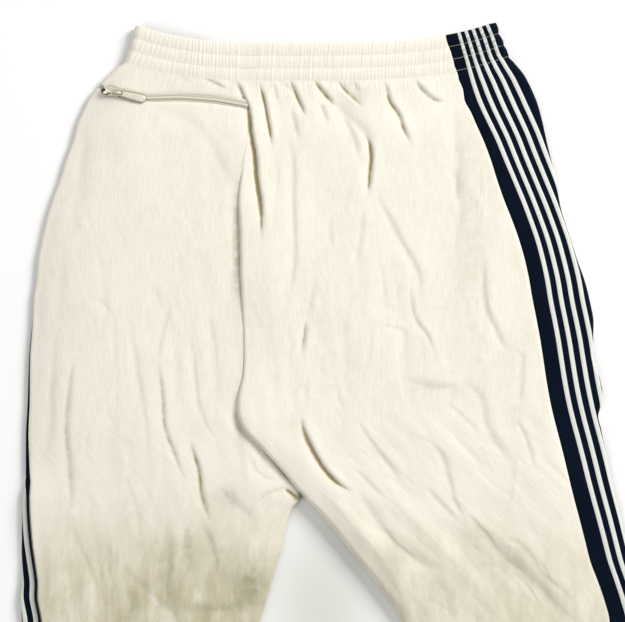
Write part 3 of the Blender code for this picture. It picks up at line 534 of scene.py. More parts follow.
# %% One half of the garment
INNER_STRETCH = 1.3  # the length of the rolled-down inner edge, in its rolls
FULL_ROLL = 1.2  # an inner edge with a smaller roll stays up, so that the seam doesn't show
SHOULDER = {"left": 34.0, "right": 14.0}  # how far in the cloth bends down towards its folded edge
SHOULDER_DROP = {"left": 3.0, "right": 0.8}
LOFT_RUN, LOFT_BELOW_WAIST, STEP_RUN = 55.0, 60.0, 60.0
SINK, SINK_RUN = 0.55, 9.0  # how the left panel sinks beside the right one's step
# The cloth swells round the zip's slider and pull: where, its half length and half width, its height
SWELL_AT, SWELL_SIZE, SWELL = (119.0, 93.5), (21.0, 12.0), 2.0
PANEL_SHELF, PANEL_SLOPE = 4.0, 16.0  # how far past the side panel the front stays up, and comes down
# How far from the folded edge, the waistband and a leg's inner seam the folds have their full height
EDGE_CALM, WAIST_CALM, SEAM_CALM = 14.0, 7.0, 12.0
SEAM_LOFT_RUN = 40.0  # how far from a leg's inner seam its loft is full
BULGE_POWER = 0.6  # below 1, a channel bulges with steep sides
LEAST_ROLL = 0.05  # keeps an inner edge without a roll from dividing by zero
BISECTIONS = 30  # how often a search along a section halves it
SEAM_SHARE = 0.3  # the share of a section before any side seam
CASING_LAST = 0.999  # from this share of the casing on, a row has the leg's folded edge


class Half:
    """The left or the right half of the garment on the table."""

    def __init__(self, name, sign, edge, seam, column, first_line=None):
        self.name, self.sign = name, sign
        self.first_line = first_line and through(first_line, 1)
        self.edge, self.seam, self.lift = through(edge, 1), through(seam, 1), through(LIFT, column)
        self.inner, self.inner_roll = through(INNER, column), through(INNER, column + 2)
        self.step, self.flange = through(INNER, 5), through(FLANGE, 1)
        self.width, self.band, self.line, self.pitch = (through(PANEL, c) for c in (1, 2, 3, 4))


def roll_at(y):
    """Half the height of the folded edge, with the waistband's channels standing proud."""
    into = (y - WAIST_Y) / CASING_HEIGHT
    channel = np.abs(np.sin(np.pi * CHANNELS * into))
    pinched = STITCH_ROLL + (CASING_SEAM_ROLL - STITCH_ROLL) * smooth(into * 3 - 2)
    below = EDGE_ROLL + (CASING_SEAM_ROLL - EDGE_ROLL) * np.exp(-(((into - 1) * 2) ** 2))
    return np.where(into < CASING_LAST, pinched + (CHANNEL_ROLL - STITCH_ROLL) * channel, below)


class Sections:
    """The sections of one half at some values of y on its inner seam, one to a row."""

    def __init__(self, half, rows):
        self.half = half
        y = self.y = np.asarray(rows, float)[:, None]
        self.x = half.inner(y)
        left = half.name == "left"
        self.below = smooth((y - CASING_END) / LOFT_BELOW_WAIST)
        self.leg = smooth((y - LEGS_START) / (CROTCH_Y - LEGS_START))
        self.length = np.abs(half.edge(y - half.lift(y)) - self.x) + self.channel_bulge()
        self.roll = roll_at(y)
        self.inner_roll = np.maximum(half.inner_roll(y), LEAST_ROLL)
        self.inner_arc = INNER_STRETCH * self.inner_roll

        self.flanged = smooth((y - FLANGE_START) / FLANGE_RUN) if left else 0 * y
        self.drop = SHOULDER_DROP[half.name] * self.below * (1 - self.flanged)
        self.rim = self.roll - self.drop / 2 + (FLANGE_HALF - self.roll) * self.flanged
        self.quarter = np.pi / 2 * self.rim
        self.flat = np.maximum(half.flange(y) - self.rim, 0) * self.flanged
        self.climb_run = CLIMB_RUN * self.flanged
        self.climb_height = 2 * (self.roll - FLANGE_HALF) * self.flanged + PUFF * self.flanged
        self.climb = np.hypot(self.climb_run, self.climb_height)
        self.top_length = self.length - self.rim - self.flat - self.climb_run

        bend = self.inner_arc - self.inner_roll
        self.edge_at = self.top_length + bend + self.climb + self.flat + self.quarter
        self.around = self.edge_at + self.quarter + self.length - self.rim + bend
        outside = self.climb + self.flat + self.quarter
        if left:
            self.back_seam = self.edge_at + half.seam(y) * (1 - self.flanged) - outside * self.flanged
        else:
            self.back_seam = self.crossing(half.seam) + bend
        if left:
            band = half.band(y) + (self.climb + FLANGE_LIP - half.band(y)) * self.flanged
            self.first_line = self.back_seam + band
            self.front_seam = self.first_line + half.width(y) - half.band(y)
        else:
            self.first_line = self.crossing(half.first_line) + bend
            self.front_seam = self.back_seam + half.width(y)

        seam_height = 2 * self.roll + LOFT * self.below
        lapped = 0 * y if left else smooth((y - LAP_FROM) / LAP_RUN)
        self.back_end = (1 - self.leg) * (seam_height - CLOTH * lapped) + self.leg * SEAM_RISE
        self.front_end = smooth((y - FRONT_RISE_FROM) / FRONT_RISE_RUN) * SEAM_RISE
        down = np.minimum((y - WAIST_Y) / (CROTCH_Y - WAIST_Y), 1.0)
        straight = half.inner(WAIST_Y) + (CROTCH_X - half.inner(WAIST_Y)) * down
        away = half.sign * (straight - self.x) * (y < CROTCH_Y)
        self.front_start = np.where(away < 0, away, away + bend * smooth(away / self.inner_roll))

    def channel_bulge(self):
        """How far the folded edge of each waistband channel stands out beyond its stitching."""
        into = np.clip((self.y - WAIST_Y) / CASING_HEIGHT, 0, 1)
        return CHANNEL_BULGE[self.half.name] * np.abs(np.sin(np.pi * CHANNELS * into)) ** BULGE_POWER

    def crossing(self, line):
        """How far from the inner edge the sections cross a line on the table, given as x at y."""
        low, high = SEAM_SHARE * self.length, self.length
        for _ in range(BISECTIONS):
            middle = (low + high) / 2
            x, y = self.on_table(middle)
            short = x < line(y)
            low, high = np.where(short, middle, low), np.where(short, high, middle)
        return low

    def lines(self, index):
        """Where a braid line starts and ends along the section."""
        start = self.first_line + index * self.half.pitch(self.y)
        return start, start + self.half.line(self.y)

    def under(self, along):
        """The height of the underside: the side panel lies on its braid, and the rest on the table."""
        past = along - self.front_seam - PANEL_SHELF
        return (GAP + BRAID) * (1 - smooth(past / PANEL_SLOPE))

    def away_at(self, along):
        """How far from the inner edge a place on the top lies, seen from above."""
        angle = np.clip(along / self.inner_arc, 0, 1) * np.pi / 2
        rolled = self.inner_roll * (1 - np.cos(angle))
        return np.where(along < 0, along, rolled + np.maximum(along - self.inner_arc, 0))

    def on_table(self, away):
        """Where on the table the sections' places lie that are so far from the inner edge."""
        share = np.clip(away / self.length, 0, None)
        rise = self.half.lift(self.y) * share ** LIFT_POWER[self.half.name]
        return self.x + self.half.sign * away, self.y - rise + 0 * away

    def top(self, x, y, away, wrinkled=True):
        """The height of the back, with its loft and folds."""
        from_edge = self.top_length - away
        puff = PUFF * self.flanged
        loft = puff + (LOFT - puff) * self.below * smooth(from_edge / LOFT_RUN)
        loft = loft * (1 - self.leg * (1 - smooth(away / SEAM_LOFT_RUN)))
        shoulder = 1 - np.clip(from_edge / SHOULDER[self.half.name], 0, 1)
        height = 2 * self.roll + loft - self.drop * shoulder**2
        step = self.half.step(self.y)
        if self.half.name == "right":
            height = height + step * np.exp(-((away / STEP_RUN) ** 2))
        else:
            height = height - SINK * step * np.exp(-((away / SINK_RUN) ** 2)) * (1 - self.leg)
            off = ((x - SWELL_AT[0]) / SWELL_SIZE[0]) ** 2 + ((y - SWELL_AT[1]) / SWELL_SIZE[1]) ** 2
            height = height + SWELL * np.exp(-off) * smooth(from_edge / EDGE_CALM)
        if not wrinkled:
            return height
        relief = unevenness(x, y)
        for fold in (*folds, *wrinkles):
            fold.add_height(relief, x, y)
        inward = smooth(from_edge / EDGE_CALM) * (1 - self.leg * (1 - smooth(away / SEAM_CALM)))
        below_waist = smooth((self.y - CASING_END) / WAIST_CALM)
        return height + relief * inward * below_waist

    def points(self, along):
        """The table points that lie along the sections, one row for each section."""
        along = along + 0 * self.y
        past = along - self.edge_at
        away_top = self.away_at(along)
        x, y = self.on_table(away_top)
        level = self.top(x, y, away_top)
        angle = np.clip(along / self.inner_arc, 0, 1) * np.pi / 2
        rolled = smooth(self.inner_roll / FULL_ROLL)
        height_top = level + (self.back_end - level) * (1 - np.sin(angle)) * rolled

        climbed = -(past + self.quarter + self.flat) / np.maximum(self.climb, 1e-6)
        away_climb = self.top_length + self.climb_run * (1 - climbed)
        height_climb = 2 * self.rim + self.climb_height * smooth(climbed)
        away_flat = self.length - self.rim + past + self.quarter
        floor = self.under(self.edge_at + self.quarter)
        turn = np.clip(-past / self.rim, -np.pi / 2, np.pi / 2)
        away_arc = self.length - self.rim + self.rim * np.cos(turn)
        height_arc = self.rim + floor / 2 + (self.rim - floor / 2) * np.sin(turn)
        left = self.around - along
        away_bottom = self.away_at(left)
        angle = np.clip(left / self.inner_arc, 0, 1) * np.pi / 2
        flat_bottom = self.under(along) * (left > 0)
        height_bottom = np.where(
            left < self.inner_arc, self.front_end * (1 - np.sin(angle)), flat_bottom)

        where = (past > self.quarter, past > -self.quarter, past > -self.quarter - self.flat,
                 past > -self.quarter - self.flat - self.climb)
        away = np.select(where, (away_bottom, away_arc, away_flat, away_climb), away_top)
        height = np.select(where, (height_bottom, height_arc, 2 * self.rim + 0 * past, height_climb),
                           height_top)
        x, y = self.on_table(away)
        return np.stack((x, y, height), -1)


HALVES = {
    "left": Half("left", -1, LEFT_EDGE, LEFT_SEAM, 1),
    "right": Half("right", 1, RIGHT_EDGE, RIGHT_SEAM, 2, RIGHT_LINE),
}
hip_width = float(sum(Sections(half, [300]).length[0, 0] for half in HALVES.values()))
print("hip width at y = 300:", round(hip_width), "mm")

# %% [markdown]
# ## Materials as expressions
# A shader reads best as arithmetic. The small class below wraps one socket, so that an expression such
# as `1 - mask * 0.5` adds the Math nodes that it stands for. Any other node comes from one method.

# %% Shader arithmetic
class Value:
    """A socket of a shader. Arithmetic on it adds Math nodes."""

    def __init__(self, shader, socket):
        self.shader, self.socket = shader, socket

    def math(self, operation, *others):
        inputs = dict(enumerate((self, *others)))
        return self.shader.node("Math", {"operation": operation}, inputs)["Value"]

    def __add__(self, other):
        return self.math("ADD", other)

    def __sub__(self, other):
        return self.math("SUBTRACT", other)

    def __rsub__(self, other):
        return self * -1 + other

    def __mul__(self, other):
        return self.math("MULTIPLY", other)

    def __pow__(self, other):
        return self.math("POWER", other)

    def __abs__(self):
        return self.math("ABSOLUTE")

    def clamped(self):
        """The value kept between 0 and 1."""
        return self.shader.node("Clamp", {}, {"Value": self})["Result"]

    def wave(self, length):
        """A sine wave along the value, one in each length."""
        return (self * (2 * math.pi / length)).math("SINE")

    __radd__, __rmul__ = __add__, __mul__


class Shader:
    """A material with a Principled BSDF, and a method that adds any node to it."""

    def __init__(self, name, **settings):
        self.material = bpy.data.materials.new(name)
        self.material.use_nodes = True
        self.tree = self.material.node_tree
        self.surface = self.tree.nodes["Principled BSDF"]
        self.paint(**settings)

    def feed(self, socket, value):
        """Links a value to a socket, or sets it there. A colour is given its alpha."""
        if isinstance(value, Value):
            self.tree.links.new(value.socket, socket)
        elif isinstance(value, tuple) and len(value) == 3 and len(socket.default_value) == 4:
            socket.default_value = (*value, 1.0)
        else:
            socket.default_value = value

    def node(self, kind, settings, inputs):
        """A node of that kind. Its settings come first, and its outputs are returned by name."""
        node = self.tree.nodes.new("ShaderNode" + kind)
        for setting, value in settings.items():
            setattr(node, setting, value)
        for socket, value in inputs.items():
            self.feed(node.inputs[socket], value)
        return {output.name: Value(self, output) for output in node.outputs if output.enabled}

    def vector(self, x, y):
        return self.node("CombineXYZ", {}, {"X": x, "Y": y, "Z": 0.0})["Vector"]

    def noise(self, vector, scale, detail, roughness=0.5):
        inputs = {"Scale": scale, "Detail": detail, "Vector": vector, "Roughness": roughness}
        return self.node("TexNoise", {}, inputs)["Fac"]

    def mix(self, share, first, second):
        """A colour between two, by a share. Its sockets share their names, so they go by number."""
        node = self.tree.nodes.new("ShaderNodeMix")
        node.data_type, node.clamp_factor = "RGBA", True
        for index, value in ((0, share), (6, first), (7, second)):
            self.feed(node.inputs[index], value)
        return Value(self, node.outputs[2])

    def ramp(self, value, low, high):
        """0 up to low, 1 from high, and a soft step between."""
        inputs = {"Value": value, "From Min": low, "From Max": high}
        return self.node("MapRange", {"interpolation_type": "SMOOTHSTEP"}, inputs)["Result"]

    def bump(self, height, strength, distance, normal=None):
        inputs = {"Height": height, "Strength": strength, "Distance": distance}
        if normal is not None:
            inputs["Normal"] = normal
        return self.node("Bump", {}, inputs)["Normal"]

    def paint(self, **links):
        """Feeds sockets of the Principled BSDF, given by name with _ for a space."""
        for socket, value in links.items():
            self.feed(self.surface.inputs[socket.replace("_", " ")], value)
        return self.material


print("shader helpers ready")

# %% [markdown]
# ## Cream jersey
# The panels are a soft brushed cotton jersey. Real jersey shows fine upright ribs of stitches, a slight
# nap that brightens at grazing angles, and after years of wear a few faint yellow and grey-green
# stains. Shade is painted into its colour too: in deep creases, in some folds, at the crotch, beside the
# back seam's step and below the seat, where it goes with soiling. The ribs follow the cloth, so they are
# read from its own coordinates, kept on every point.

# %% Jersey materials
CREAM_LIGHT, CREAM_DEEP = (0.80, 0.765, 0.69), (0.73, 0.69, 0.585)
# The first colour is shade painted into the deep creases
CREASE_PAINTED_SHADE, STAIN_AND_SHADE_COLOUR, SOILED_AND_SHADED = (0.33, 0.27, 0.14), (0.33, 0.325, 0.22), (0.46, 0.42, 0.275)
NAVY_LIGHT, NAVY_DEEP = (0.0013, 0.005, 0.015), (0.0006, 0.002, 0.0065)
RIB, COURSE = 0.9, 0.7  # millimetres between the jersey's ribs, and between its rows of stitches
# How much each kind of unevenness shades the jersey, and what is taken off their sum
PATCHES, FIBRES, GRAIN, STREAKS, SHADE_OFF = 0.8, 0.9, 1.4, 1.8, 2.05
# The cloth below the seat, darker from soiling and from shade painted where the light falls off towards
# the bottom: where on y it grows and fades again, where on x it gets stronger and weaker, and how much:
# more on the left, less on the right, and what it has everywhere
SOIL_SHADE_GROWS, SOIL_SHADE_FADES, SOIL_SHADE_FADE = (470.0, 610.0), (640.0, 900.0), -0.7
SOIL_SHADE_LEFT, SOIL_SHADE_RIGHT, SOIL_SHADE_STRENGTHS = (30.0, 160.0), (270.0, 360.0), (0.3, -0.45, 0.7)
# How a noise makes marks patchy: its gain, and what is taken off
STAIN_AND_SHADE_PATCHY, SOIL_SHADE_PATCHY, NICKEL_PATCHY = (2.6, 0.5), (2.8, 0.66), (1.7, 0.45)
COIL_HALF, TAPE_SHOWN = 1.5, 3.3  # half the width of the zip's coil, and of the tape between the lips
# Faint stains, and shade painted in folds, at the crotch and beside the back seam's step: x, y, radius
# across, radius down, strength
STAINS_AND_SHADE = (
    (252, 586, 14, 18, 1.0), (206, 607, 26, 5, 0.5), (240, 604, 14, 6, 0.4), (133, 612, 10, 18, 0.6),
    (168, 575, 8, 34, 0.4), (189, 548, 7, 22, 0.35), (212, 560, 34, 26, 0.2), (226, 498, 16, 12, 0.35),
    (300, 499, 5, 7, 1.2), (241, 430, 7, 16, 0.3), (236, 258, 4.5, 58, 0.5), (222, 172, 10, 22, 0.12),
    (350, 100, 9, 12, 0.22), (472, 215, 26, 130, 0.17), (520, 430, 18, 110, 0.08), (508, 558, 26, 18, 0.3),
    (396, 556, 15, 16, 0.22), (478, 536, 18, 12, 0.2), (72, 470, 8, 50, 0.1), (432, 388, 34, 8, 0.15),
)


def cloth_place(shader):
    """The cloth's own coordinates: along the section, down the garment, and how creased it is, which sets
    the shade painted there.
    """
    place = shader.node("Attribute", {"attribute_name": "cloth"}, {})["Vector"]
    parts = shader.node("SeparateXYZ", {}, {"Vector": place})
    return place, parts["X"], parts["Y"], parts["Z"]


def table_place(shader):
    """Where a point lies on the table, in millimetres."""
    spot = shader.node("TexCoord", {}, {})["Object"]
    parts = shader.node("SeparateXYZ", {}, {"Vector": spot})
    return spot, parts["X"] * (1 / MM) + CENTRE_X, CENTRE_Y - parts["Y"] * (1 / MM)


def patchy(noise, gain, off):
    """A noise with more contrast, kept between 0 and 1."""
    return (noise * gain - off).clamped()


def soft_spot(x, y, at_x, at_y, across, down):
    """1 at one place on the table, less and less round it."""
    reach = ((x - at_x) * (1 / across)) ** 2 + ((y - at_y) * (1 / down)) ** 2
    return (reach * -1).math("EXPONENT")


def stain_and_shade_mask(x, y, uneven):
    """How strongly stains and painted shade darken the cloth at a point."""
    total = sum(soft_spot(x, y, *where) * strength for *where, strength in STAINS_AND_SHADE)
    return total * patchy(uneven, *STAIN_AND_SHADE_PATCHY)


def soil_and_shade_mask(shader, x, y, uneven):
    """How much soiling and painted shade darken the cloth below the seat, more so on the left leg."""
    more, less, base = SOIL_SHADE_STRENGTHS
    below = shader.ramp(y, *SOIL_SHADE_GROWS) * (shader.ramp(y, *SOIL_SHADE_FADES) * SOIL_SHADE_FADE + 1)
    side = shader.ramp(x, *SOIL_SHADE_RIGHT) * less + shader.ramp(x, *SOIL_SHADE_LEFT) * more + base
    return below * side * patchy(uneven, *SOIL_SHADE_PATCHY)


def jersey(name, light, deep, worn, sheen, specular):
    """A knitted cloth of two tones. A worn one also has its stains and soiling, and shade painted in its
    creases, its folds and below the seat.
    """
    shader = Shader(name, Roughness=0.92, Sheen_Weight=sheen, Sheen_Roughness=0.45,
                    Sheen_Tint=(1.0, 0.98, 0.93), Specular_IOR_Level=specular)
    place, along, down, crease = cloth_place(shader)
    spot, x, y = table_place(shader)
    patches = shader.noise(spot, scale=22.0, detail=3.0)
    fibres = shader.noise(place, scale=1.1, detail=3.0)
    grain = shader.noise(place, scale=0.45, detail=2.0)
    streaks = shader.noise(shader.vector(along * 0.4, down * 0.06), scale=1.0, detail=2.0)
    tone = patches * PATCHES + fibres * FIBRES + grain * GRAIN + streaks * STREAKS - SHADE_OFF
    colour = shader.mix(tone, light, deep)
    if worn:
        uneven = shader.noise(spot, scale=130.0, detail=3.0)
        ragged = shader.noise(shader.vector(x * 0.045, y * 0.014), scale=1.0, detail=5.0, roughness=0.65)
        # Soiling and painted shade below the seat
        colour = shader.mix(soil_and_shade_mask(shader, x, y, ragged), colour, SOILED_AND_SHADED)
        # Stains, and shade painted in folds, at the crotch and beside the step
        colour = shader.mix(stain_and_shade_mask(x, y, uneven), colour, STAIN_AND_SHADE_COLOUR)
        # Shade painted into the deep creases and beside the back seam's step, made uneven by a noise
        colour = shader.mix((crease * (uneven * 2.0 - 0.2)).clamped(), colour, CREASE_PAINTED_SHADE)
    nap = shader.noise(place, scale=0.9, detail=2.0)
    knit = along.wave(RIB) * 0.25 + down.wave(COURSE) * 0.12 + nap * 1.1
    fine = shader.bump(knit, strength=0.32, distance=0.0005)
    rough = shader.bump(streaks, strength=0.12, distance=0.0009, normal=fine)
    return shader.paint(Base_Color=colour, Normal=rough)


cream = jersey("cream_jersey", CREAM_LIGHT, CREAM_DEEP, worn=True, sheen=0.25, specular=0.2)
navy = jersey("navy_jersey", NAVY_LIGHT, NAVY_DEEP, worn=False, sheen=0.03, specular=0.08)
print("materials:", cream.name, navy.name)

# %% [markdown]
# ## Braid, thread and zip finishes
# The white lines are a narrow knitted braid: small slanted stitches that lean one way on the left half
# of the line and the other way on the right. The zip is a beige woven tape with a pale plastic coil and
# an old nickel slider.

# %% Braid, thread and zip materials
BRAID_DEEP, BRAID_LIGHT, BRAID_GATHER_SHADE = (0.36, 0.375, 0.33), (0.90, 0.915, 0.89), (0.06, 0.065, 0.055)
CREAM_THREAD, TAN_THREAD, THREAD_SHADE = (0.72, 0.685, 0.60), (0.50, 0.47, 0.36), 0.8
TAPE_DEEP, TAPE_LIGHT, TAPE_SHADE = (0.74, 0.72, 0.60), (0.86, 0.83, 0.72), (0.20, 0.185, 0.11)
COIL_LIGHT, COIL_GRIMY = (0.74, 0.71, 0.60), (0.55, 0.53, 0.42)
NICKEL_LIGHT, NICKEL_WORN = (0.74, 0.71, 0.61), (0.58, 0.55, 0.44)
# Shade painted on the metal's lower sides, and in the patches that stand for holes
NICKEL_SHADE, NICKEL_HOLE_SHADE = (0.24, 0.21, 0.12), (0.012, 0.012, 0.008)
BRAID_LOOP, TAPE_THREAD = 1.7, 0.8  # millimetres between the braid's stitches, and the tape's threads
# Where shadow is painted on the tape, beside the coil and under the lips: how far from its middle, and how
# strongly
TAPE_SHADED = ((COIL_HALF + 0.3, 0.7), (TAPE_SHOWN, 0.5))
GATHER_SHADE_FADE = 6.0  # how far above the casing's end the shade painted in the gathers fades out


def braid_material():
    """White braid. The gathers of the waistband pinch it, and the shade in their folds is painted dark on
    it in places.
    """
    shader = Shader("white_braid", Roughness=0.85, Sheen_Weight=0.1)
    place, across, down, _ = cloth_place(shader)
    loops = (abs(across) * 0.9 + down).wave(BRAID_LOOP) * 0.5 + 0.5
    fuzz = shader.noise(place, scale=2.2, detail=2.0)
    colour = shader.mix(loops * 0.75 + fuzz * 0.5 - 0.1, BRAID_DEEP, BRAID_LIGHT)
    in_casing = 1 - shader.ramp(down, CASING_END - GATHER_SHADE_FADE, CASING_END)
    # Shade painted into the gathers' folds, in patches
    pinched = in_casing * (shader.noise(place, scale=0.4, detail=3.0) * 3 - 1.35)
    colour = shader.mix(pinched.clamped() * 0.8, colour, BRAID_GATHER_SHADE)
    raised = shader.bump(loops + fuzz, strength=0.6, distance=0.0004)
    return shader.paint(Base_Color=colour, Normal=raised)


def thread_material(name, colour):
    """Twisted thread."""
    shader = Shader(name, Roughness=0.6, Sheen_Weight=0.1)
    spot, _, _ = table_place(shader)
    twist = shader.noise(spot, scale=2600.0, detail=1.0)
    darker = tuple(THREAD_SHADE * channel for channel in colour)
    return shader.paint(Base_Color=shader.mix(twist, colour, darker),
                        Normal=shader.bump(twist, strength=0.4, distance=0.0002))


def tape_material():
    """Woven tape, with shadow painted beside the coil and beside the lips."""
    shader = Shader("zip_tape", Roughness=0.8)
    place, along, across, _ = cloth_place(shader)
    weave = along.wave(TAPE_THREAD) * across.wave(TAPE_THREAD)
    colour = shader.mix(weave * 0.25 + shader.noise(place, scale=1.2, detail=2.0), TAPE_DEEP, TAPE_LIGHT)
    for line, strength in TAPE_SHADED:
        # Painted shadow of the coil and of the lips
        beside = shader.ramp(abs(abs(across) - line), 0.2, 0.8)
        colour = shader.mix((1 - beside) * strength, colour, TAPE_SHADE)
    return shader.paint(Base_Color=colour, Normal=shader.bump(weave, strength=0.5, distance=0.0003))


def coil_material():
    """Pale plastic with some grime."""
    shader = Shader("zip_coil", Roughness=0.42)
    spot, _, _ = table_place(shader)
    grime = shader.noise(spot, scale=240.0, detail=3.0)
    return shader.paint(Base_Color=shader.mix(grime, COIL_LIGHT, COIL_GRIMY))


def nickel_material():
    """Dull old nickel, with shade painted where a piece's sides turn down, and on the patches that stand
    for holes.
    """
    shader = Shader("zip_nickel", Metallic=0.35, Roughness=0.5)
    spot, _, _ = table_place(shader)
    _, _, _, level = cloth_place(shader)
    worn = shader.noise(spot, scale=420.0, detail=4.0)
    colour = shader.mix(patchy(worn, *NICKEL_PATCHY), NICKEL_LIGHT, NICKEL_WORN)
    # Shade painted below a height of each piece, and in the patches that stand for holes
    colour = shader.mix(shader.ramp(level, 0.0, 1.0), NICKEL_SHADE, colour)
    colour = shader.mix(shader.ramp(level, -1.0, -0.5), NICKEL_HOLE_SHADE, colour)
    return shader.paint(Base_Color=colour, Normal=shader.bump(worn, strength=0.15, distance=0.0003))


braid = braid_material()
cream_thread = thread_material("cream_thread", CREAM_THREAD)
tan_thread = thread_material("tan_thread", TAN_THREAD)
tape_cloth, coil_plastic, nickel = tape_material(), coil_material(), nickel_material()
print("materials:", braid.name, cream_thread.name, tape_cloth.name, coil_plastic.name, nickel.name)

# %% [markdown]
# ## A shell of cloth
# A panel is a thin shell. Its outer face is a fine grid of points, its inner face the same cloth a
# thickness further in, with a point for every second one, because nobody sees it closely. Faces with
# five corners join the two round the rim, so that the piece is closed.

# %% Shells from grids
SHARP = math.radians(62)  # edges that turn by more than this look sharp


def normals_of(grid, sign):
    """The outward direction at each point of a grid of table points."""
    normal = sign * np.cross(np.gradient(grid, axis=1), np.gradient(grid, axis=0))
    return normal / np.maximum(np.linalg.norm(normal, axis=-1, keepdims=True), 1e-9)


def quads(index, left_out=None):
    """The faces of a grid of point numbers. left_out gives the rows and columns of a hole."""
    faces = np.stack((index[:-1, :-1], index[:-1, 1:], index[1:, 1:], index[1:, :-1]), -1)
    keep = np.ones(faces.shape[:2], bool)
    if left_out is not None:
        top, bottom, first, last = left_out
        keep[top:bottom, first:last] = False
    return faces[keep].tolist()


def tube_faces(rings, sides, first=0):
    """The faces of a tube whose points come ring by ring, closed by one face at each end."""
    index = first + np.arange(rings * sides).reshape(rings, sides)
    faces = quads(np.concatenate((index, index[:, :1]), 1))
    return faces + [index[0, ::-1].tolist(), index[-1].tolist()]


def rim(fine, coarse):
    """The faces between a run of fine points and the coarse run behind it."""
    return [[fine[2 * k], fine[2 * k + 1], fine[2 * k + 2], coarse[k + 1], coarse[k]]
            for k in range(len(coarse) - 1)]


def make_object(name, points, faces, places, surface):
    """A mesh object from table points, without the points that no face uses."""
    used = np.unique(np.concatenate([np.array(face) for face in faces]))
    number = np.full(len(points), -1)
    number[used] = np.arange(len(used))
    mesh = bpy.data.meshes.new(name)
    mesh.from_pydata(to_world(points[used]).tolist(), [], [number[face].tolist() for face in faces])
    cloth = mesh.attributes.new("cloth", "FLOAT_VECTOR", "POINT")
    cloth.data.foreach_set("vector", np.ascontiguousarray(places[used], np.float32).ravel())
    bm = bmesh.new()
    bm.from_mesh(mesh)
    bmesh.ops.recalc_face_normals(bm, faces=bm.faces)
    bm.to_mesh(mesh)
    bm.free()
    mesh.materials.append(surface)
    mesh.shade_smooth()
    mesh.set_sharp_from_angle(angle=SHARP)
    made = bpy.data.objects.new(name, mesh)
    bpy.context.scene.collection.objects.link(made)
    return made


def shell(name, outer, places, thickness, sign, surface, hole=None):
    """A closed shell. outer is an odd number of rows and columns of table points."""
    inner = (outer - thickness * normals_of(outer, sign))[::2, ::2]
    rows, columns = outer.shape[:2]
    fine = np.arange(rows * columns).reshape(rows, columns)
    coarse = rows * columns + np.arange(inner.shape[0] * inner.shape[1]).reshape(inner.shape[:2])
    faces = quads(fine, hole) + quads(coarse, None if hole is None else [n // 2 for n in hole])
    faces += rim(fine[0], coarse[0]) + rim(fine[-1], coarse[-1])
    faces += rim(fine[:, 0], coarse[:, 0]) + rim(fine[:, -1], coarse[:, -1])
    if hole is not None:
        top, bottom, first, last = hole
        for row in (top, bottom):
            faces += rim(fine[row, first:last + 1], coarse[row // 2, first // 2:last // 2 + 1])
        for column in (first, last):
            faces += rim(fine[top:bottom + 1, column], coarse[top // 2:bottom // 2 + 1, column // 2])
    points = np.concatenate((outer.reshape(-1, 3), inner.reshape(-1, 3)))
    own = np.concatenate((places.reshape(-1, 3), places[::2, ::2].reshape(-1, 3)))
    return make_object(name, points, faces, own, surface)


def odd(count):
    """An odd whole number near count, as a shell's grid needs one."""
    return 2 * (int(count) // 2) + 1


def spread(start, end, columns):
    """Equal steps from start to end on each row."""
    return start + (end - start) * np.linspace(0, 1, columns)[None, :]


print("shell helpers ready")

# %% [markdown]
# ## Rows and seams
# Rows of points lie 1.7 mm apart where the picture shows the cloth closely, and further apart below. At
# a seam both edges turn down into the garment, which gives the shallow groove that a sewn seam shows.

# %% Rows of the panels
# Millimetres between rows in the picture, and below it
BACK_STEPS, SIDE_STEPS, FRONT_STEPS = (1.7, 6.5), (2.0, 5.0), (5.0, 8.0)
# The pleats below the waistband: how tall, how slanted, and how far in from the folded edge they are full
LEG_PLEATS, LEG_PLEATS_LEAN, LEG_PLEATS_EDGE = 1.1, 0.25, 20.0
LEG_PLEATS_GROW, LEG_PLEATS_FADE, PLEAT_MEAN = 4, 2.2, 0.4
BELOW_CASING = 0.02  # how far below the casing a panel's first row lies


def panel_rows(fine_step, coarse_step):
    """y on the inner seam of a panel's rows, an odd number of them."""
    rows_shown = odd((PICTURE_END - CASING_END) / fine_step)
    fine = np.linspace(CASING_END + BELOW_CASING, PICTURE_END, rows_shown)
    coarse = np.linspace(PICTURE_END, HEM_Y, odd((HEM_Y - PICTURE_END) / coarse_step))
    return np.concatenate((fine, coarse[1:]))


def seam_groove(outer, sign, along, seams, depth=0.9, width=1.5):
    """Turns the cloth down into the seams that lie at some places along it."""
    dip = sum(np.exp(-(((along - seam) / width) ** 2)) for seam in seams)
    return outer - (depth * dip)[..., None] * normals_of(outer, sign)


def softened(grid):
    """The same grid with its columns evened out a little, ends kept."""
    softer = grid.copy()
    softer[:, 1:-1] = 0.25 * grid[:, :-2] + 0.5 * grid[:, 1:-1] + 0.25 * grid[:, 2:]
    return softer


def waist_pleats(half, rows, along):
    """Fine pleats that run from the waistband into the leg and fade out."""
    into = (rows[:, None] - CASING_END) / BELOW_WAIST
    tall = smooth(into * LEG_PLEATS_GROW) * np.exp(-np.clip(into, 0, None) * LEG_PLEATS_FADE)
    lean = LEG_PLEATS_LEAN * (rows[:, None] - CASING_END)
    profile = pleats_at(CHANNELS, along - lean + LEG_PLEATS_FROM[half.name])
    return LEG_PLEATS * tall * (profile - PLEAT_MEAN)


def places_of(along, rows, crease=0.0):
    """The cloth's own coordinates of a grid, which its weave follows, and how creased it is there, for the
    shade painted into creases.
    """
    return np.stack((along, rows[:, None] + 0 * along, crease + 0 * along), -1)


def creases(grid):
    """How deep in a fold each point of a grid lies, for the shade painted into creases."""
    crease = np.zeros(grid.shape[:2])
    for fold in deep_folds:
        fold.add_crease(crease, grid[..., 0], grid[..., 1])
    return np.clip(crease, 0, 3)


print(len(panel_rows(*BACK_STEPS)), "rows on each back panel")

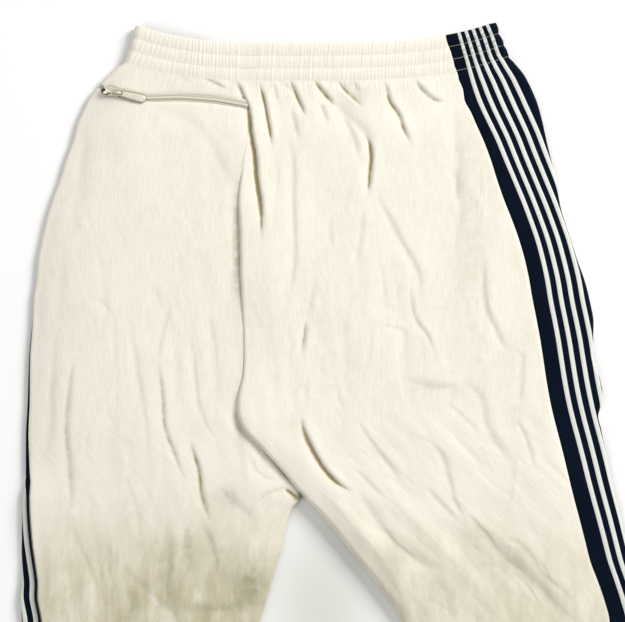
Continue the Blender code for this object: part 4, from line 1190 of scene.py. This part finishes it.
# %% [markdown]
# ## The zipped pocket
# The back pocket is a slit in the left panel, closed by a zip. Cutting the slit with a Boolean would
# leave ragged faces in so fine a mesh. So the rows next to the slit are bent to run along its two lips,
# and the faces between them are left out.

# %% The slit's lips
# The middle of the zip: x, y, half the slit's width
ZIP = (
    (103.5, 91.2, 2.6), (110, 92.0, 3.3), (146, 98.5, 3.2), (177, 97.8, 3.9), (210, 99.7, 4.2),
    (238, 104.0, 3.8), (248, 106.0, 2.4),
)
ZIP_ROW = 103.0  # the slit is cut where the row of this y on the inner seam runs
ZIP_START, ZIP_END = ZIP[0][0], ZIP[-1][0]
LIP_REACH = 26.0  # how far from the slit the rows are bent
WAIST_SHARE = 0.85  # and at most this share of the way to the waistband
SLIT_CALM, SLIT_CALM_RUN = 2.5, 5.0  # so near to the folded edge the rows stay as they are
LIP_DEPTH, LIP_WIDTH = 1.0, 1.5
# How far before the zip and after it the rows are bent and the lips turned down, each with its run
BEND_ENDS, LIP_ENDS = ((14, 13), (10, 9)), ((2, 4), (3, 4))
zip_y, zip_half = through(ZIP, 1), through(ZIP, 2)


def beside_zip(x, ends):
    """1 along the zip, less and less beyond its ends."""
    (before, start_run), (after, end_run) = ends
    return smooth((x - ZIP_START + before) / start_run) * smooth((ZIP_END + after - x) / end_run)


def open_slit(grid, rows):
    """Bends the rows of the left back panel along the slit. Returns the grid and the hole."""
    x, y = grid[..., 0], grid[..., 1].copy()
    middle = zip_y(x)
    top = 2 * int(np.abs(rows - ZIP_ROW).argmin() // 2)
    bottom = top + 2
    first, last = sorted(2 * int(np.abs(x[top] - end).argmin() // 2) for end in (ZIP_START, ZIP_END))
    inside = beside_zip(x, BEND_ENDS)
    calm = smooth((x - HALVES["left"].edge(y) - SLIT_CALM) / SLIT_CALM_RUN)
    for lip, way in ((top, -1), (bottom, 1)):
        shift = (middle + way * zip_half(x) - y)[lip]
        distance = (y[lip] - y) * -way
        reach = np.minimum(LIP_REACH, WAIST_SHARE * np.abs(y[lip] - y[0]))
        beyond = np.arange(len(y))[:, None] * way >= lip * way
        fading = np.where(beyond, 1 - smooth(distance / reach), 0)
        y = y + fading * shift * inside[lip] * calm
    y[top + 1] = (y[top] + y[bottom]) / 2
    bent = grid.copy()
    bent[..., 1] = y
    return bent, (top, bottom, first, last)


def lip_roll(grid):
    """Turns the two lips down into the slit."""
    x, y = grid[..., 0], grid[..., 1]
    off = np.clip(np.abs(y - zip_y(x)) - zip_half(x), 0, None)
    rolled = grid.copy()
    rolled[..., 2] -= LIP_DEPTH * np.exp(-((off / LIP_WIDTH) ** 2)) * beside_zip(x, LIP_ENDS)
    return rolled


print("zip from x =", ZIP_START, "to", ZIP_END)

# %% [markdown]
# ## The back panels
# Each back panel reaches from the centre back seam to the side panel. It is the finest mesh here,
# because the picture is mostly made of it.

# %% Cut and lay the back panels
BACK_COLUMNS = {"left": 175, "right": 187}
STEP_PAINTED_SHADOW, STEP_DARK_TO, STEP_DARK_RUN = 0.35, 8.0, 7.0  # the shadow painted beside the step: how dark it gets, and how far from the step
# How dark the shadow painted on the left panel beside the step is: y, share
STEP_SHADE = (
    (150, 0), (190, 0.6), (220, 1), (290, 1), (320, 0.35), (395, 0.3), (415, 1), (445, 0.6), (470, 0),
)
step_shade = through(STEP_SHADE, 1)
pieces = {}


def spans(node):
    """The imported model's three solids that one long panel is made of."""
    return [f"{node}_{span}" for span in ("top", "middle", "bottom")]


def lay(name, made, nodes, body="garment"):
    """Gives a piece its body, hides the CAD nodes that it stands for, and keeps it among the pieces."""
    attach(made, body)
    if nodes:
        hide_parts(*nodes)
    pieces[name] = made
    return made


def away_from_step(grid):
    """How far points lie from the right panel, which stands higher along the back seam."""
    return HALVES["right"].inner(grid[..., 1]) - grid[..., 0]


def back_panel(half):
    """Cuts one back panel, with the zip's slit in the left one, and lays it."""
    rows = panel_rows(*BACK_STEPS)
    sections = Sections(half, rows)
    along = spread(0 * sections.y, sections.back_seam, BACK_COLUMNS[half.name])
    grid = softened(sections.points(along))
    hole = None
    if half.name == "left":
        bent, hole = open_slit(grid, rows)
        flat = sections.top(grid[..., 0], grid[..., 1], half.sign * (grid[..., 0] - sections.x))
        moved = sections.top(bent[..., 0], bent[..., 1], half.sign * (bent[..., 0] - sections.x))
        bent[..., 2] += moved - flat
        grid = lip_roll(bent)
    inward = smooth((sections.top_length - along) / LEG_PLEATS_EDGE)
    grid[..., 2] += waist_pleats(half, rows, along) * inward
    grid = seam_groove(grid, half.sign, along, (sections.back_seam,))
    crease = creases(grid)
    if half.name == "left":
        # A shadow painted beside the right panel's higher edge, through the crease value
        beside = smooth((STEP_DARK_TO - away_from_step(grid)) / STEP_DARK_RUN)
        crease += STEP_PAINTED_SHADOW * beside * step_shade(grid[..., 1])
    made = shell(f"back_{half.name}", grid, places_of(along, rows, crease), CLOTH, half.sign, cream, hole)
    lay(made.name, made, spans(f"leg_back_{half.name}"))


for half in HALVES.values():
    back_panel(half)
print("back panels:", [len(pieces[f"back_{name}"].data.polygons) for name in HALVES], "faces")

# %% [markdown]
# ## The front and side panels
# The front lies face down on the table, so it is flat, and its rows can lie further apart. The navy
# side panel is folded round the outer edge, and on the left it lies as a flange beside the leg.

# %% Cut and lay the front and side panels
FRONT_COLUMNS, SIDE_COLUMNS = 61, 45


def front_panel(half):
    rows = panel_rows(*FRONT_STEPS)
    sections = Sections(half, rows)
    along = spread(sections.front_seam, sections.around - sections.front_start, FRONT_COLUMNS)
    grid = softened(sections.points(along))
    made = shell(f"front_{half.name}", grid, places_of(along, rows), CLOTH, half.sign, cream)
    lay(made.name, made, [f"leg_front_{half.name}"])


def side_panel(half):
    rows = panel_rows(*SIDE_STEPS)
    sections = Sections(half, rows)
    along = spread(sections.back_seam, sections.front_seam, SIDE_COLUMNS)
    grid = softened(sections.points(along))
    grid = seam_groove(grid, half.sign, along, (sections.back_seam, sections.front_seam))
    made = shell(f"side_{half.name}", grid, places_of(along, rows), CLOTH, half.sign, navy)
    lay(made.name, made, spans(f"side_panel_{half.name}"))


for half in HALVES.values():
    front_panel(half)
    side_panel(half)
print("laid:", sorted(pieces))

# %% [markdown]
# ## The waistband
# The casing is jersey folded over a wide elastic and stitched through in rows, which leaves three puffy
# channels full of fine pleats. Every channel gets its own pleats, pinched at the stitching. The wall's
# two faces meet in a round at the top edge, where the cloth is folded over.

# %% Gather the waistband
PLEAT_HEIGHT = {"back": 0.6, "front": 0.5, "side": 0.2}
SHARED_PLEATS, OWN_PLEATS = 0.75, 0.4
PINCHED_TO = 0.4  # the share of their height that the pleats keep at the stitching
# How much the pleats lean, on the left by the distance from the centre back
LEFT_LEAN, RIGHT_LEAN = ((0, 60, 130), (0, -0.05, -0.45)), 0.05
TOP_ROUND, TOP_ROWS, BAND_ROWS = CASING_WALL / 2, 5, 43
LEAST_WALL = 0.1  # at the top edge, where the wall's faces meet


def casing_rows():
    """Rows of the casing, close together at the rounded top edge."""
    edge = WAIST_Y + TOP_ROUND * (1 - np.cos(np.linspace(0, np.pi / 2, TOP_ROWS)))
    return np.concatenate((edge, np.linspace(WAIST_Y + TOP_ROUND, CASING_END, BAND_ROWS)[1:]))


def channel_pleats_on(sections, along, part):
    """Pleats of the three channels, pinched at each row of stitching."""
    into = (sections.y - WAIST_Y) / CASING_HEIGHT * CHANNELS
    channel = np.clip(into.astype(int), 0, CHANNELS - 1)
    puffed = PINCHED_TO + (1 - PINCHED_TO) * np.abs(np.sin(np.pi * into)) ** 0.5
    name = sections.half.name
    lean = np.interp(along, *LEFT_LEAN) if name == "left" else RIGHT_LEAN
    where = along + lean * (sections.y - WAIST_Y) + BAND_PLEATS_FROM[name]
    shared = SHARED_PLEATS * pleats_at(CHANNELS, where)
    total = np.zeros_like(along)
    for row in range(CHANNELS):
        total = np.where(channel == row, shared + OWN_PLEATS * pleats_at(row, where), total)
    if part == "back":
        total = total * smooth((along - SMOOTH_TO[name]) / 2 + 1)
    return PLEAT_HEIGHT[part] * puffed * (total - 0.5)


# Where each part of a section starts and ends
CUTS = {
    "back": lambda s: (0 * s.y, s.back_seam),
    "side": lambda s: (s.back_seam, s.front_seam),
    "front": lambda s: (s.front_seam, s.around - s.front_start),
}


def casing(half, part, columns, surface, slot):
    """One part of the waistband, with its pleats."""
    rows, start_end = casing_rows(), CUTS[part]
    sections = Sections(half, rows)
    along = spread(*start_end(sections), columns)
    grid = sections.points(along)
    normals = normals_of(grid, half.sign)
    raised = channel_pleats_on(sections, along, part)
    from_top = np.clip(1 - (sections.y - WAIST_Y) / TOP_ROUND, 0, 1)
    rounded = TOP_ROUND * (1 - np.sqrt(np.clip(1 - from_top**2, 0, 1)))
    grid = grid + normals * (raised * (1 - from_top) - rounded)[..., None]
    seams = (sections.back_seam, sections.front_seam)
    grid = seam_groove(grid, half.sign, along, seams, depth=0.3, width=1.2)
    thick = (CASING_WALL - 2 * rounded)[..., None]
    made = shell(f"waist_{part}_{half.name}", grid, places_of(along, rows),
                 np.maximum(thick, LEAST_WALL), half.sign, surface)
    lay(made.name, made, [f"waistband_{part}_{half.name}"])


CASING_PARTS = (
    # part, columns, material, slot
    ("back", 241, cream, "cream_jersey"),
    ("front", 181, cream, "cream_jersey"),
    ("side", 61, navy, "navy_jersey"),
)
for half in HALVES.values():
    for row in CASING_PARTS:
        casing(half, *row)
print("laid:", sorted(name for name in pieces if name.startswith("waist")))

# %% [markdown]
# ## The braid lines
# Five narrow lines of braid are sewn down each side panel and run on through the waistband. Each is a
# thin strip made from the panel's own points and moved out, with rounded edges, so that it follows
# every bend of the panel.

# %% Sew on the braid
BRAID_TABLE_LIFT = 0.05
BRAID_START, BRAID_BAND_ROWS = WAIST_Y + 0.4, 31
BRAID_THINNED, BRAID_WALL = 0.7, 0.9  # how much thinner its edges are, and its wall as a share of its crown
BRAID_SHARES = (0, 0.12, 0.3, 0.5, 0.7, 0.88, 1.0)  # its columns, closer together at the rounded edges


def braid_line(half, index):
    """One line of braid, from the waistband's top edge to the hem."""
    in_band = np.linspace(BRAID_START, CASING_END, BRAID_BAND_ROWS)[:-1]
    rows = np.concatenate((in_band, panel_rows(*SIDE_STEPS)))
    rows = rows[: odd(len(rows) - 1)]
    sections = Sections(half, rows)
    start, end = sections.lines(index)
    share = np.array(BRAID_SHARES)[None, :]
    along = start + (end - start) * share
    grid = sections.points(along)
    normals = normals_of(grid, half.sign)
    crown = BRAID * (1 - BRAID_THINNED * np.abs(2 * share - 1) ** 3)
    grid = grid + normals * (crown + BRAID_TABLE_LIFT)[..., None]
    across = along - (start + end) / 2
    made = shell(f"braid_line_{half.name}_{index + 1}", grid, places_of(across, rows),
                 (crown * BRAID_WALL)[..., None], half.sign, braid)
    return lay(made.name, made, [f"braid_{half.name}_{index + 1}"])


braid_lines = {name: [braid_line(half, i) for i in range(LINES)] for name, half in HALVES.items()}
print(2 * LINES, "braid lines,", len(braid_lines["left"][0].data.polygons), "faces each")

# %% [markdown]
# ## Stitching
# Rows of lockstitch hold the elastic. A stitch is a short bent thread that dips into the cloth at both
# ends. One function runs a thread along any line of points on the cloth and joins its stitches into a
# single mesh.

# %% Sew the stitches
THREAD, STITCH, STITCH_GAP, THREAD_LIFT = 0.17, 2.6, 0.5, 0.08
THREAD_SIDES, THREAD_RINGS = 6, 5
HUMP, HUMP_SUNK = 1.1, 0.6  # how far a stitch stands up, and how deep its ends lie, as shares of THREAD
LINE_POINTS = 301


def stitches(name, lines, surface):
    """Stitches along some lines of table points. Each line comes with its normals."""
    points, faces = [], []
    turn = np.linspace(0, 2 * np.pi, THREAD_SIDES, endpoint=False)
    for line, normals in lines:
        walked = np.r_[0, np.cumsum(np.linalg.norm(np.diff(line, axis=0), axis=1))]
        for start in np.arange(STITCH_GAP, walked[-1] - STITCH, STITCH + STITCH_GAP):
            at = start + STITCH * np.linspace(0, 1, THREAD_RINGS)
            spot = np.stack([np.interp(at, walked, line[:, axis]) for axis in range(3)], -1)
            up = np.stack([np.interp(at, walked, normals[:, axis]) for axis in range(3)], -1)
            along = spot[-1] - spot[0]
            side = np.cross(up, along)
            side /= np.linalg.norm(side, axis=1)[:, None]
            rise = np.sin(np.pi * np.linspace(0, 1, THREAD_RINGS)) ** 0.5
            hump = THREAD * (HUMP * rise - HUMP_SUNK)
            ring = (np.cos(turn)[None, :, None] * side[:, None] + np.sin(turn)[None, :, None] * up[:, None])
            tube = (spot + up * hump[:, None])[:, None] + THREAD * ring
            faces += tube_faces(THREAD_RINGS, THREAD_SIDES, len(points) * THREAD_RINGS * THREAD_SIDES)
            points.append(tube.reshape(-1, 3))
    points = np.concatenate(points)
    made = make_object(name, points, faces, points, surface)
    return lay(name, made, [])


def line_across(half, part, y):
    """A line across one part of the garment at y, just above the cloth, with its normals."""
    rows = np.array((y - 0.5, y, y + 0.5))
    sections = Sections(half, rows)
    grid = sections.points(spread(*CUTS[part](sections), LINE_POINTS))
    normals = normals_of(grid, half.sign)
    return (grid + THREAD_LIFT * normals)[1], normals[1]


band_stitches = [WAIST_Y + CASING_HEIGHT * share for share in (1 / 3, 2 / 3)]
hem_stitches = [HEM_Y - 20, HEM_Y - 25]
STITCHED = (
    # colour of the cloth, thread, parts, y of rows at the casing's end
    ("cream", cream_thread, ("back", "front"), []),
    ("navy", tan_thread, ("side",), [CASING_END - 1.2]),
)
for name, surface, parts, under_band in STITCHED:
    stitch_ys = band_stitches + under_band + hem_stitches
    lines = [line_across(half, part, y) for y in stitch_ys for part in parts for half in HALVES.values()]
    made = stitches(f"stitches_on_{name}", lines, surface)
    print(made.name, len(made.data.polygons), "faces")

# %% [markdown]
# ## The zip
# A strip of woven tape lies under the slit, and a nylon coil runs along its middle. The coil's loops are
# short bent beads, alternately from one side and from the other, all made by one loop and joined.

# %% Tape and coil
TAPE_WIDTH, TAPE_THICKNESS, TAPE_DROP, TAPE_CROWN = 12.0, 0.8, 1.6, 0.6
COIL_PITCH, COIL_RADIUS, COIL_LIFT = 1.25, 0.5, 0.4
COIL_FROM, COIL_TO = ZIP_START + 8, ZIP_END - 1
BEAD_RADII, BEAD_SIDES = (0.9, 1.0, 1.0, 1.05, 1.1, 0.6), 6  # a bead's rings, as shares of COIL_RADIUS
BEAD_REACH, BEAD_RISE, BEAD_NARROWED = 1.9, 0.75, 0.9
TAPE_CROWN_HALF, LONGEST_LIFT = 4, 25.0  # half the tape's raised middle, and more than any section's lift
left_half = HALVES["left"]


def cloth_height(x, y):
    """The height of the left back panel beside the zip, without folds, at table points."""
    x, y = np.asarray(x, float), np.asarray(y, float)
    low, high = y.copy(), y + LONGEST_LIFT
    for _ in range(BISECTIONS):
        middle = (low + high) / 2
        sections = Sections(left_half, middle)
        away = sections.x - x[:, None]
        lifted = sections.on_table(away)[1][:, 0]
        low, high = np.where(lifted < y, middle, low), np.where(lifted < y, high, middle)
    sections = Sections(left_half, low)
    return sections.top(x[:, None], y[:, None], sections.x - x[:, None], False)[:, 0]


def zip_strip(xs, offsets, drop):
    """A grid of table points along the zip, one row for each x and one column for each offset."""
    slope = np.gradient(zip_y(xs), xs)
    size = np.hypot(1, slope)
    height = cloth_height(xs, zip_y(xs)) - drop
    columns = []
    for v in offsets:
        crowned = height + TAPE_CROWN * smooth(1 - abs(v) / TAPE_CROWN_HALF)
        columns.append(np.stack((xs - v * slope / size, zip_y(xs) + v / size, crowned), -1))
    return np.stack(columns, 1)


tape_xs = np.linspace(ZIP_START + 2, ZIP_END - 0.3, 101)
tape_offsets = np.linspace(-TAPE_WIDTH / 2, TAPE_WIDTH / 2, 17)
tape_grid = zip_strip(tape_xs, tape_offsets, TAPE_DROP)
tape_places = np.stack((tape_xs[:, None] + 0 * tape_offsets, 0 * tape_xs[:, None] + tape_offsets,
                        0 * tape_grid[..., 0]), -1)
tape = shell("zip_tape_cloth", tape_grid, tape_places, TAPE_THICKNESS, 1, tape_cloth)
lay(tape.name, tape, ["zip_tape"])

bead_x = np.arange(COIL_FROM, COIL_TO, COIL_PITCH / 2)
bead_line = zip_strip(bead_x, (0.0,), TAPE_DROP - COIL_LIFT)[:, 0]
bead_points, bead_faces = [], []
bead_share = np.linspace(0, 1, len(BEAD_RADII))
bead_turn = np.linspace(0, 2 * np.pi, BEAD_SIDES, endpoint=False)
for number, centre in enumerate(bead_line):
    way = 1 if number % 2 else -1
    across = way * (COIL_HALF - BEAD_REACH * COIL_HALF * bead_share)
    rise = BEAD_RISE * np.sin(np.pi * np.clip(bead_share * 1.1, 0, 1)) ** 0.6
    path = centre + np.stack((0 * across, across, rise), -1)
    radius = COIL_RADIUS * np.array(BEAD_RADII)
    ring = np.stack((np.cos(bead_turn)[None, :] * radius[:, None] * BEAD_NARROWED,
                     0 * radius[:, None] * bead_turn, np.sin(bead_turn)[None, :] * radius[:, None]), -1)
    bead_points.append((path[:, None] + ring).reshape(-1, 3))
    bead_faces += tube_faces(len(BEAD_RADII), BEAD_SIDES, number * len(BEAD_RADII) * BEAD_SIDES)
bead_points = np.concatenate(bead_points)
coil = make_object("zip_coil_loops", bead_points, bead_faces, bead_points, coil_plastic)
lay(coil.name, coil, ["zip_coil"])
print(len(bead_line), "coil loops on", round(float(tape_xs[-1] - tape_xs[0])), "mm of tape")

# %% [markdown]
# ## Slider and pull
# The slider is a small cast body with a bridge over it. The pull hangs on the bridge by its eye and
# turns on it, so it rides on its own body. Both are outlines pushed up in layers, with rounded rims.

# %% Slider and pull
pull_joint = next(j for j in frame["joints"] if j["name"] == "pull_tab_hinge")
SLIDER_TURN, PULL_SLOPE = math.radians(-10.0), math.radians(6.0)
PULL_TURN = math.atan2(pull_joint["axis"][0], -pull_joint["axis"][1])
METAL_SHARP = math.radians(50)  # edges of metal that turn by more than this look sharp
CORNER_STEPS, LEAST_CORNER, BAR_SIDES = 8, 0.15, 16


def turned(points, origin, turn, slope):
    """Points in a piece's own millimetres as points of the model in metres."""
    u, v, w = (np.asarray(points, float)[..., i] for i in range(3))
    u, w = u * math.cos(slope) + w * math.sin(slope), w * math.cos(slope) - u * math.sin(slope)
    x, y = u * math.cos(turn) - v * math.sin(turn), u * math.sin(turn) + v * math.cos(turn)
    return np.stack((x, y, w), -1) * MM + np.array(origin)


def layered(outline_at, layers):
    """A closed solid from an outline. Each layer gives how far in it lies and its height."""
    rings = []
    for inset, height in layers:
        outline = outline_at(inset)
        rings.append(np.column_stack((outline, np.full(len(outline), height))))
    return np.concatenate(rings), tube_faces(len(rings), len(rings[0]))


def rounded_outline(half_length, half_width, corner, nose, centre):
    """A rounded rectangle as a function of inset. nose narrows its far end."""
    def at(inset):
        line = []
        for u_way, v_way, start in ((1, 1, 0), (-1, 1, 90), (-1, -1, 180), (1, -1, 270)):
            radius, in_by = max(corner - inset, LEAST_CORNER), max(corner, inset + LEAST_CORNER)
            wide = half_width - (nose if u_way > 0 else 0)
            for angle in np.radians(start + np.linspace(0, 90, CORNER_STEPS)):
                line.append((centre + u_way * (half_length - in_by) + radius * math.cos(angle),
                             v_way * (wide - in_by) + radius * math.sin(angle)))
        return np.array(line)
    return at


def add_part(store, points, faces, hollow=False):
    """Adds points and faces to a piece. A hollow is a flat patch painted dark, as the shade inside a hole.
    """
    first = sum(len(part) for part in store[0])
    store[0].append(points)
    store[1].extend([[first + corner for corner in face] for face in faces])
    store[2].append(np.full(len(points), hollow))


def swept(path, half_width, half_height, bulge=0.35):
    """A bar of rounded section along a path in the u, w plane."""
    path = np.asarray(path, float)
    way = np.gradient(path, axis=0)
    way /= np.linalg.norm(way, axis=1)[:, None]
    normal = np.stack((-way[:, 1], way[:, 0]), -1)
    section = [(math.copysign(abs(math.cos(a)) ** bulge, math.cos(a)) * half_width,
                math.copysign(abs(math.sin(a)) ** bulge, math.sin(a)) * half_height)
               for a in np.linspace(0, 2 * math.pi, BAR_SIDES + 1)[:-1]]
    points = np.array([[(u + n_u * h, v, w + n_w * h) for v, h in section]
                       for (u, w), (n_u, n_w) in zip(path, normal)])
    return points.reshape(-1, 3), tube_faces(len(path), BAR_SIDES)


def metal_piece(name, store, origin, turn, slope, nodes, body, dark_from, bright_from):
    """A zip part. Shade is painted on it below one height of its own, and fades out up to another."""
    own, hollow = np.concatenate(store[0]), np.concatenate(store[2])
    points = turned(own, origin, turn, slope)
    table = np.stack((points[:, 0] / MM + CENTRE_X, CENTRE_Y - points[:, 1] / MM, points[:, 2] / MM), -1)
    level = np.where(hollow, -1, np.clip((own[:, 2] - dark_from) / (bright_from - dark_from), 0, 1))
    made = make_object(name, table, store[1], np.stack((own[:, 0], own[:, 1], level), -1), nickel)
    made.data.set_sharp_from_angle(angle=METAL_SHARP)
    return lay(name, made, nodes, body)


hinge_point = pull_joint["pos_m"]
HINGE_UP = 1.9  # the hinge above the slider's top plate
SLIDER_HALF, SLIDER_CENTRE = 9.4, -5.5  # half its length, and its middle along it from the hinge
slider = ([], [], [])
plate = rounded_outline(SLIDER_HALF, half_width=4.7, corner=2.6, nose=0.9, centre=SLIDER_CENTRE)
deck = -HINGE_UP
UPPER_PLATE = (
    (0.5, deck - 1.2), (0.1, deck - 1.0), (0, deck - 0.7), (0.15, deck - 0.3), (0.6, deck), (1.3, deck),
    (1.6, deck - 0.35),
)
LOWER_PLATE = ((0.9, deck - 3.4), (0.4, deck - 3.3), (0.3, deck - 3.0), (0.8, deck - 2.8))
add_part(slider, *layered(plate, UPPER_PLATE))
add_part(slider, *layered(plate, LOWER_PLATE))
post = rounded_outline(2.6, half_width=1.5, corner=1.2, nose=0.0, centre=SLIDER_CENTRE)
add_part(slider, *layered(post, ((0, deck - 2.6), (0, deck - 1.0))))
bridge = [(-4.1, deck - 0.5)]
bridge += [(3.5 * math.cos(a) - 0.4 * (a / math.pi), deck + 0.15 + 3.0 * math.sin(a))
           for a in np.linspace(math.pi, 0, 13)]
bridge += [(3.5, deck - 0.4)]
add_part(slider, *swept(bridge, half_width=1.15, half_height=0.42))
# Patches painted dark as the shade in the hole at its end and in the grooves beside the bridge: along,
# across, half length, half width
HOLES = ((-14.2, 0.4, 1.5, 1.5), (-8.5, -2.2, 1.6, 0.5), (-11.5, -3.6, 2.2, 0.5), (2.2, -3.2, 1.0, 0.7))
for u, v, half_length, half_width in HOLES:
    hole = rounded_outline(half_length, half_width, half_width - 0.05, nose=0.0, centre=u)
    points, faces = layered(hole, ((0.3, deck - 0.9), (0, deck + 0.03), (0.3, deck + 0.05)))
    points[:, 1] += v
    add_part(slider, points, faces, hollow=True)
metal_piece("zip_slider_body", slider, hinge_point, SLIDER_TURN, 0.0, ["zip_slider"], "garment",
            deck - 0.9, deck - 0.1)
print("slider made of", len(slider[1]), "faces")

# %% [markdown]
# The pull is a flat tab with a round end, a little higher along its middle, and an eye at the slider's
# end. It is drawn as an axle and two bars round the eye, and a plate beyond it.

# %% The pull
PULL_LENGTH, PULL_WIDTH, PULL_NECK, PULL_THICKNESS, PULL_HEAD = 30.0, 8.2, 6.8, 1.4, 1.2
EYE_END, NECK_RUN, WIDENED_RUN = 4.0, 2.0, 5.0  # where the plate starts, and how it widens to the round end
EYE_BARS = ((-PULL_HEAD + 0.6, 0.0), (1.0, 0.0), (2.5, 0.0), (5.0, 0.0))
pull = ([], [], [])


def tab_outline(inset):
    """The tab from the eye to its round end."""
    wide, neck = PULL_WIDTH / 2 - inset, PULL_NECK / 2 - inset
    far = PULL_LENGTH - PULL_HEAD - PULL_WIDTH / 2
    end = [(far + wide * math.cos(a), wide * math.sin(a)) for a in np.radians(np.linspace(-90, 90, 17))]
    near = EYE_END + inset
    shoulder = [(far - WIDENED_RUN, wide), (near + NECK_RUN, neck), (near, neck * 0.9)]
    return np.array([(u, -v) for u, v in shoulder[::-1]] + end + shoulder)


thick = PULL_THICKNESS / 2
TAB_LAYERS = (
    (0.35, -thick), (0.08, -thick * 0.7), (0, 0), (0.45, thick * 0.5), (0.9, thick * 0.9),
    (1.4, thick * 1.1), (2.2, thick * 1.15),
)
add_part(pull, *layered(tab_outline, TAB_LAYERS))
for way in (-1, 1):
    points, faces = swept(EYE_BARS, half_width=0.55, half_height=0.55, bulge=0.6)
    points[:, 1] += way * (PULL_NECK / 2 - 0.9)
    add_part(pull, points, faces)
axle = [(v, 0.0) for v in np.linspace(-PULL_NECK / 2 + 0.7, PULL_NECK / 2 - 0.7, 9)]
points, faces = swept(axle, half_width=0.6, half_height=0.5, bulge=0.9)
add_part(pull, points[:, [1, 0, 2]], faces)
metal_piece("zip_pull_tab", pull, hinge_point, PULL_TURN, PULL_SLOPE, ["zip_pull"], "zip_pull",
            0.4 * thick, 1.05 * thick)
print("pull of", PULL_LENGTH, "mm on the axis", [round(a, 3) for a in pull_joint["axis"]])

# %% [markdown]
# ## What each sheet was cut to
# The flat size of each leg piece is printed: its width is the widest section's length and its area the
# sum over the sections. The casings were cut wider and gathered; their sizes are worked out but not
# printed.

GATHERED_BY = 1.15  # how much wider a casing was cut than it lies


def flat_cut(half, rows, start_end):
    """Width, length and area of a piece's cut in metres."""
    sections = Sections(half, rows)
    start, end = start_end(sections)
    widths = (end - start)[:, 0] * MM
    length = (rows[-1] - rows[0]) * MM
    return widths.max(), length, float(np.sum((widths[1:] + widths[:-1]) / 2 * np.diff(rows * MM)))


leg_rows, band_rows = panel_rows(*FRONT_STEPS), casing_rows()
for name, half in HALVES.items():
    for part, start_end in CUTS.items():
        width, length, area = flat_cut(half, leg_rows, start_end)
        print(f"{part}_{name}: {width:.3f} x {length:.3f} m, {area:.4f} m2")
        width, length, area = flat_cut(half, band_rows, start_end)
        width * GATHERED_BY
        area * GATHERED_BY

# %% [markdown]
# ## Table, light and camera
# The pants lie on a white table under soft studio light that comes mostly from the upper right. The
# camera looks straight down on the back, from the waist to just below the crotch.

# %% Table and light
TABLE_WHITE, TABLE_PAINTED_SHADOW = (0.87, 0.87, 0.875), (0.64, 0.65, 0.61)
PAINTED_SHADOW_SPOT = (322, 610, 62, 110)  # the shadow painted on the table between the legs: x, y, radius across, radius down
LOOK_AT = tuple(to_world((312.5, 311.0, 8.0)))
LIGHTS = (
    # name, place in metres, size, power, colour
    ("key", (2.02, 1.9, 1.78), 1.3, 106, (1.0, 0.985, 0.96)),
    ("fill", (-1.7, -0.7, 1.9), 2.0, 18, (1.0, 0.985, 0.95)),
)
WORLD_STRENGTH = 0.48


def table_material():
    """A white table with a shadow painted in the gap between the legs, where less light comes in."""
    shader = Shader("white_table", Roughness=0.6)
    _, x, y = table_place(shader)
    # Shadow painted between the legs
    return shader.paint(Base_Color=shader.mix(soft_spot(x, y, *PAINTED_SHADOW_SPOT), TABLE_WHITE, TABLE_PAINTED_SHADOW))


bpy.ops.mesh.primitive_plane_add(size=40, location=(0, 0, 0))
table = bpy.context.object
table.name = "table"
table.data.materials.append(table_material())


def soft_light(name, place, size, power, colour):
    """A square area light that looks at the middle of the picture."""
    light = bpy.data.lights.new(name, "AREA")
    light.size, light.energy, light.color = size, power, colour
    lamp = bpy.data.objects.new(name, light)
    lamp.location = place
    away = np.array(place) - np.array(LOOK_AT)
    lamp.rotation_euler = (math.atan2(math.hypot(away[0], away[1]), away[2]), 0,
                           math.atan2(away[0], -away[1]))
    bpy.context.scene.collection.objects.link(lamp)


for light in LIGHTS:
    soft_light(*light)
world = bpy.data.worlds.new("studio")
world.use_nodes = True
world.node_tree.nodes["Background"].inputs["Color"].default_value = (1.0, 1.0, 1.0, 1.0)
world.node_tree.nodes["Background"].inputs["Strength"].default_value = WORLD_STRENGTH
bpy.context.scene.world = world
bpy.context.scene.view_settings.view_transform = "Standard"
print("key light from the upper right, fill from the left")

# %% Camera
CAMERA_HEIGHT = 2.0
PICTURE_WIDTH = 625.0  # millimetres of table across the picture, and pixels across it
camera_data = bpy.data.cameras.new("camera")
camera_data.lens = camera_data.sensor_width * (CAMERA_HEIGHT - LOOK_AT[2]) / (PICTURE_WIDTH * MM)
camera = bpy.data.objects.new("camera", camera_data)
camera.location = (LOOK_AT[0], LOOK_AT[1], CAMERA_HEIGHT)
bpy.context.scene.collection.objects.link(camera)
bpy.context.scene.camera = camera
print("lens", round(camera_data.lens, 1), "mm at", CAMERA_HEIGHT, "m")

# %% Count the triangles
triangles = {name: sum(len(p.vertices) - 2 for p in made.data.polygons) for name, made in pieces.items()}
print("triangles:", sum(triangles.values()), "in all, the most in a piece", max(triangles.values()))
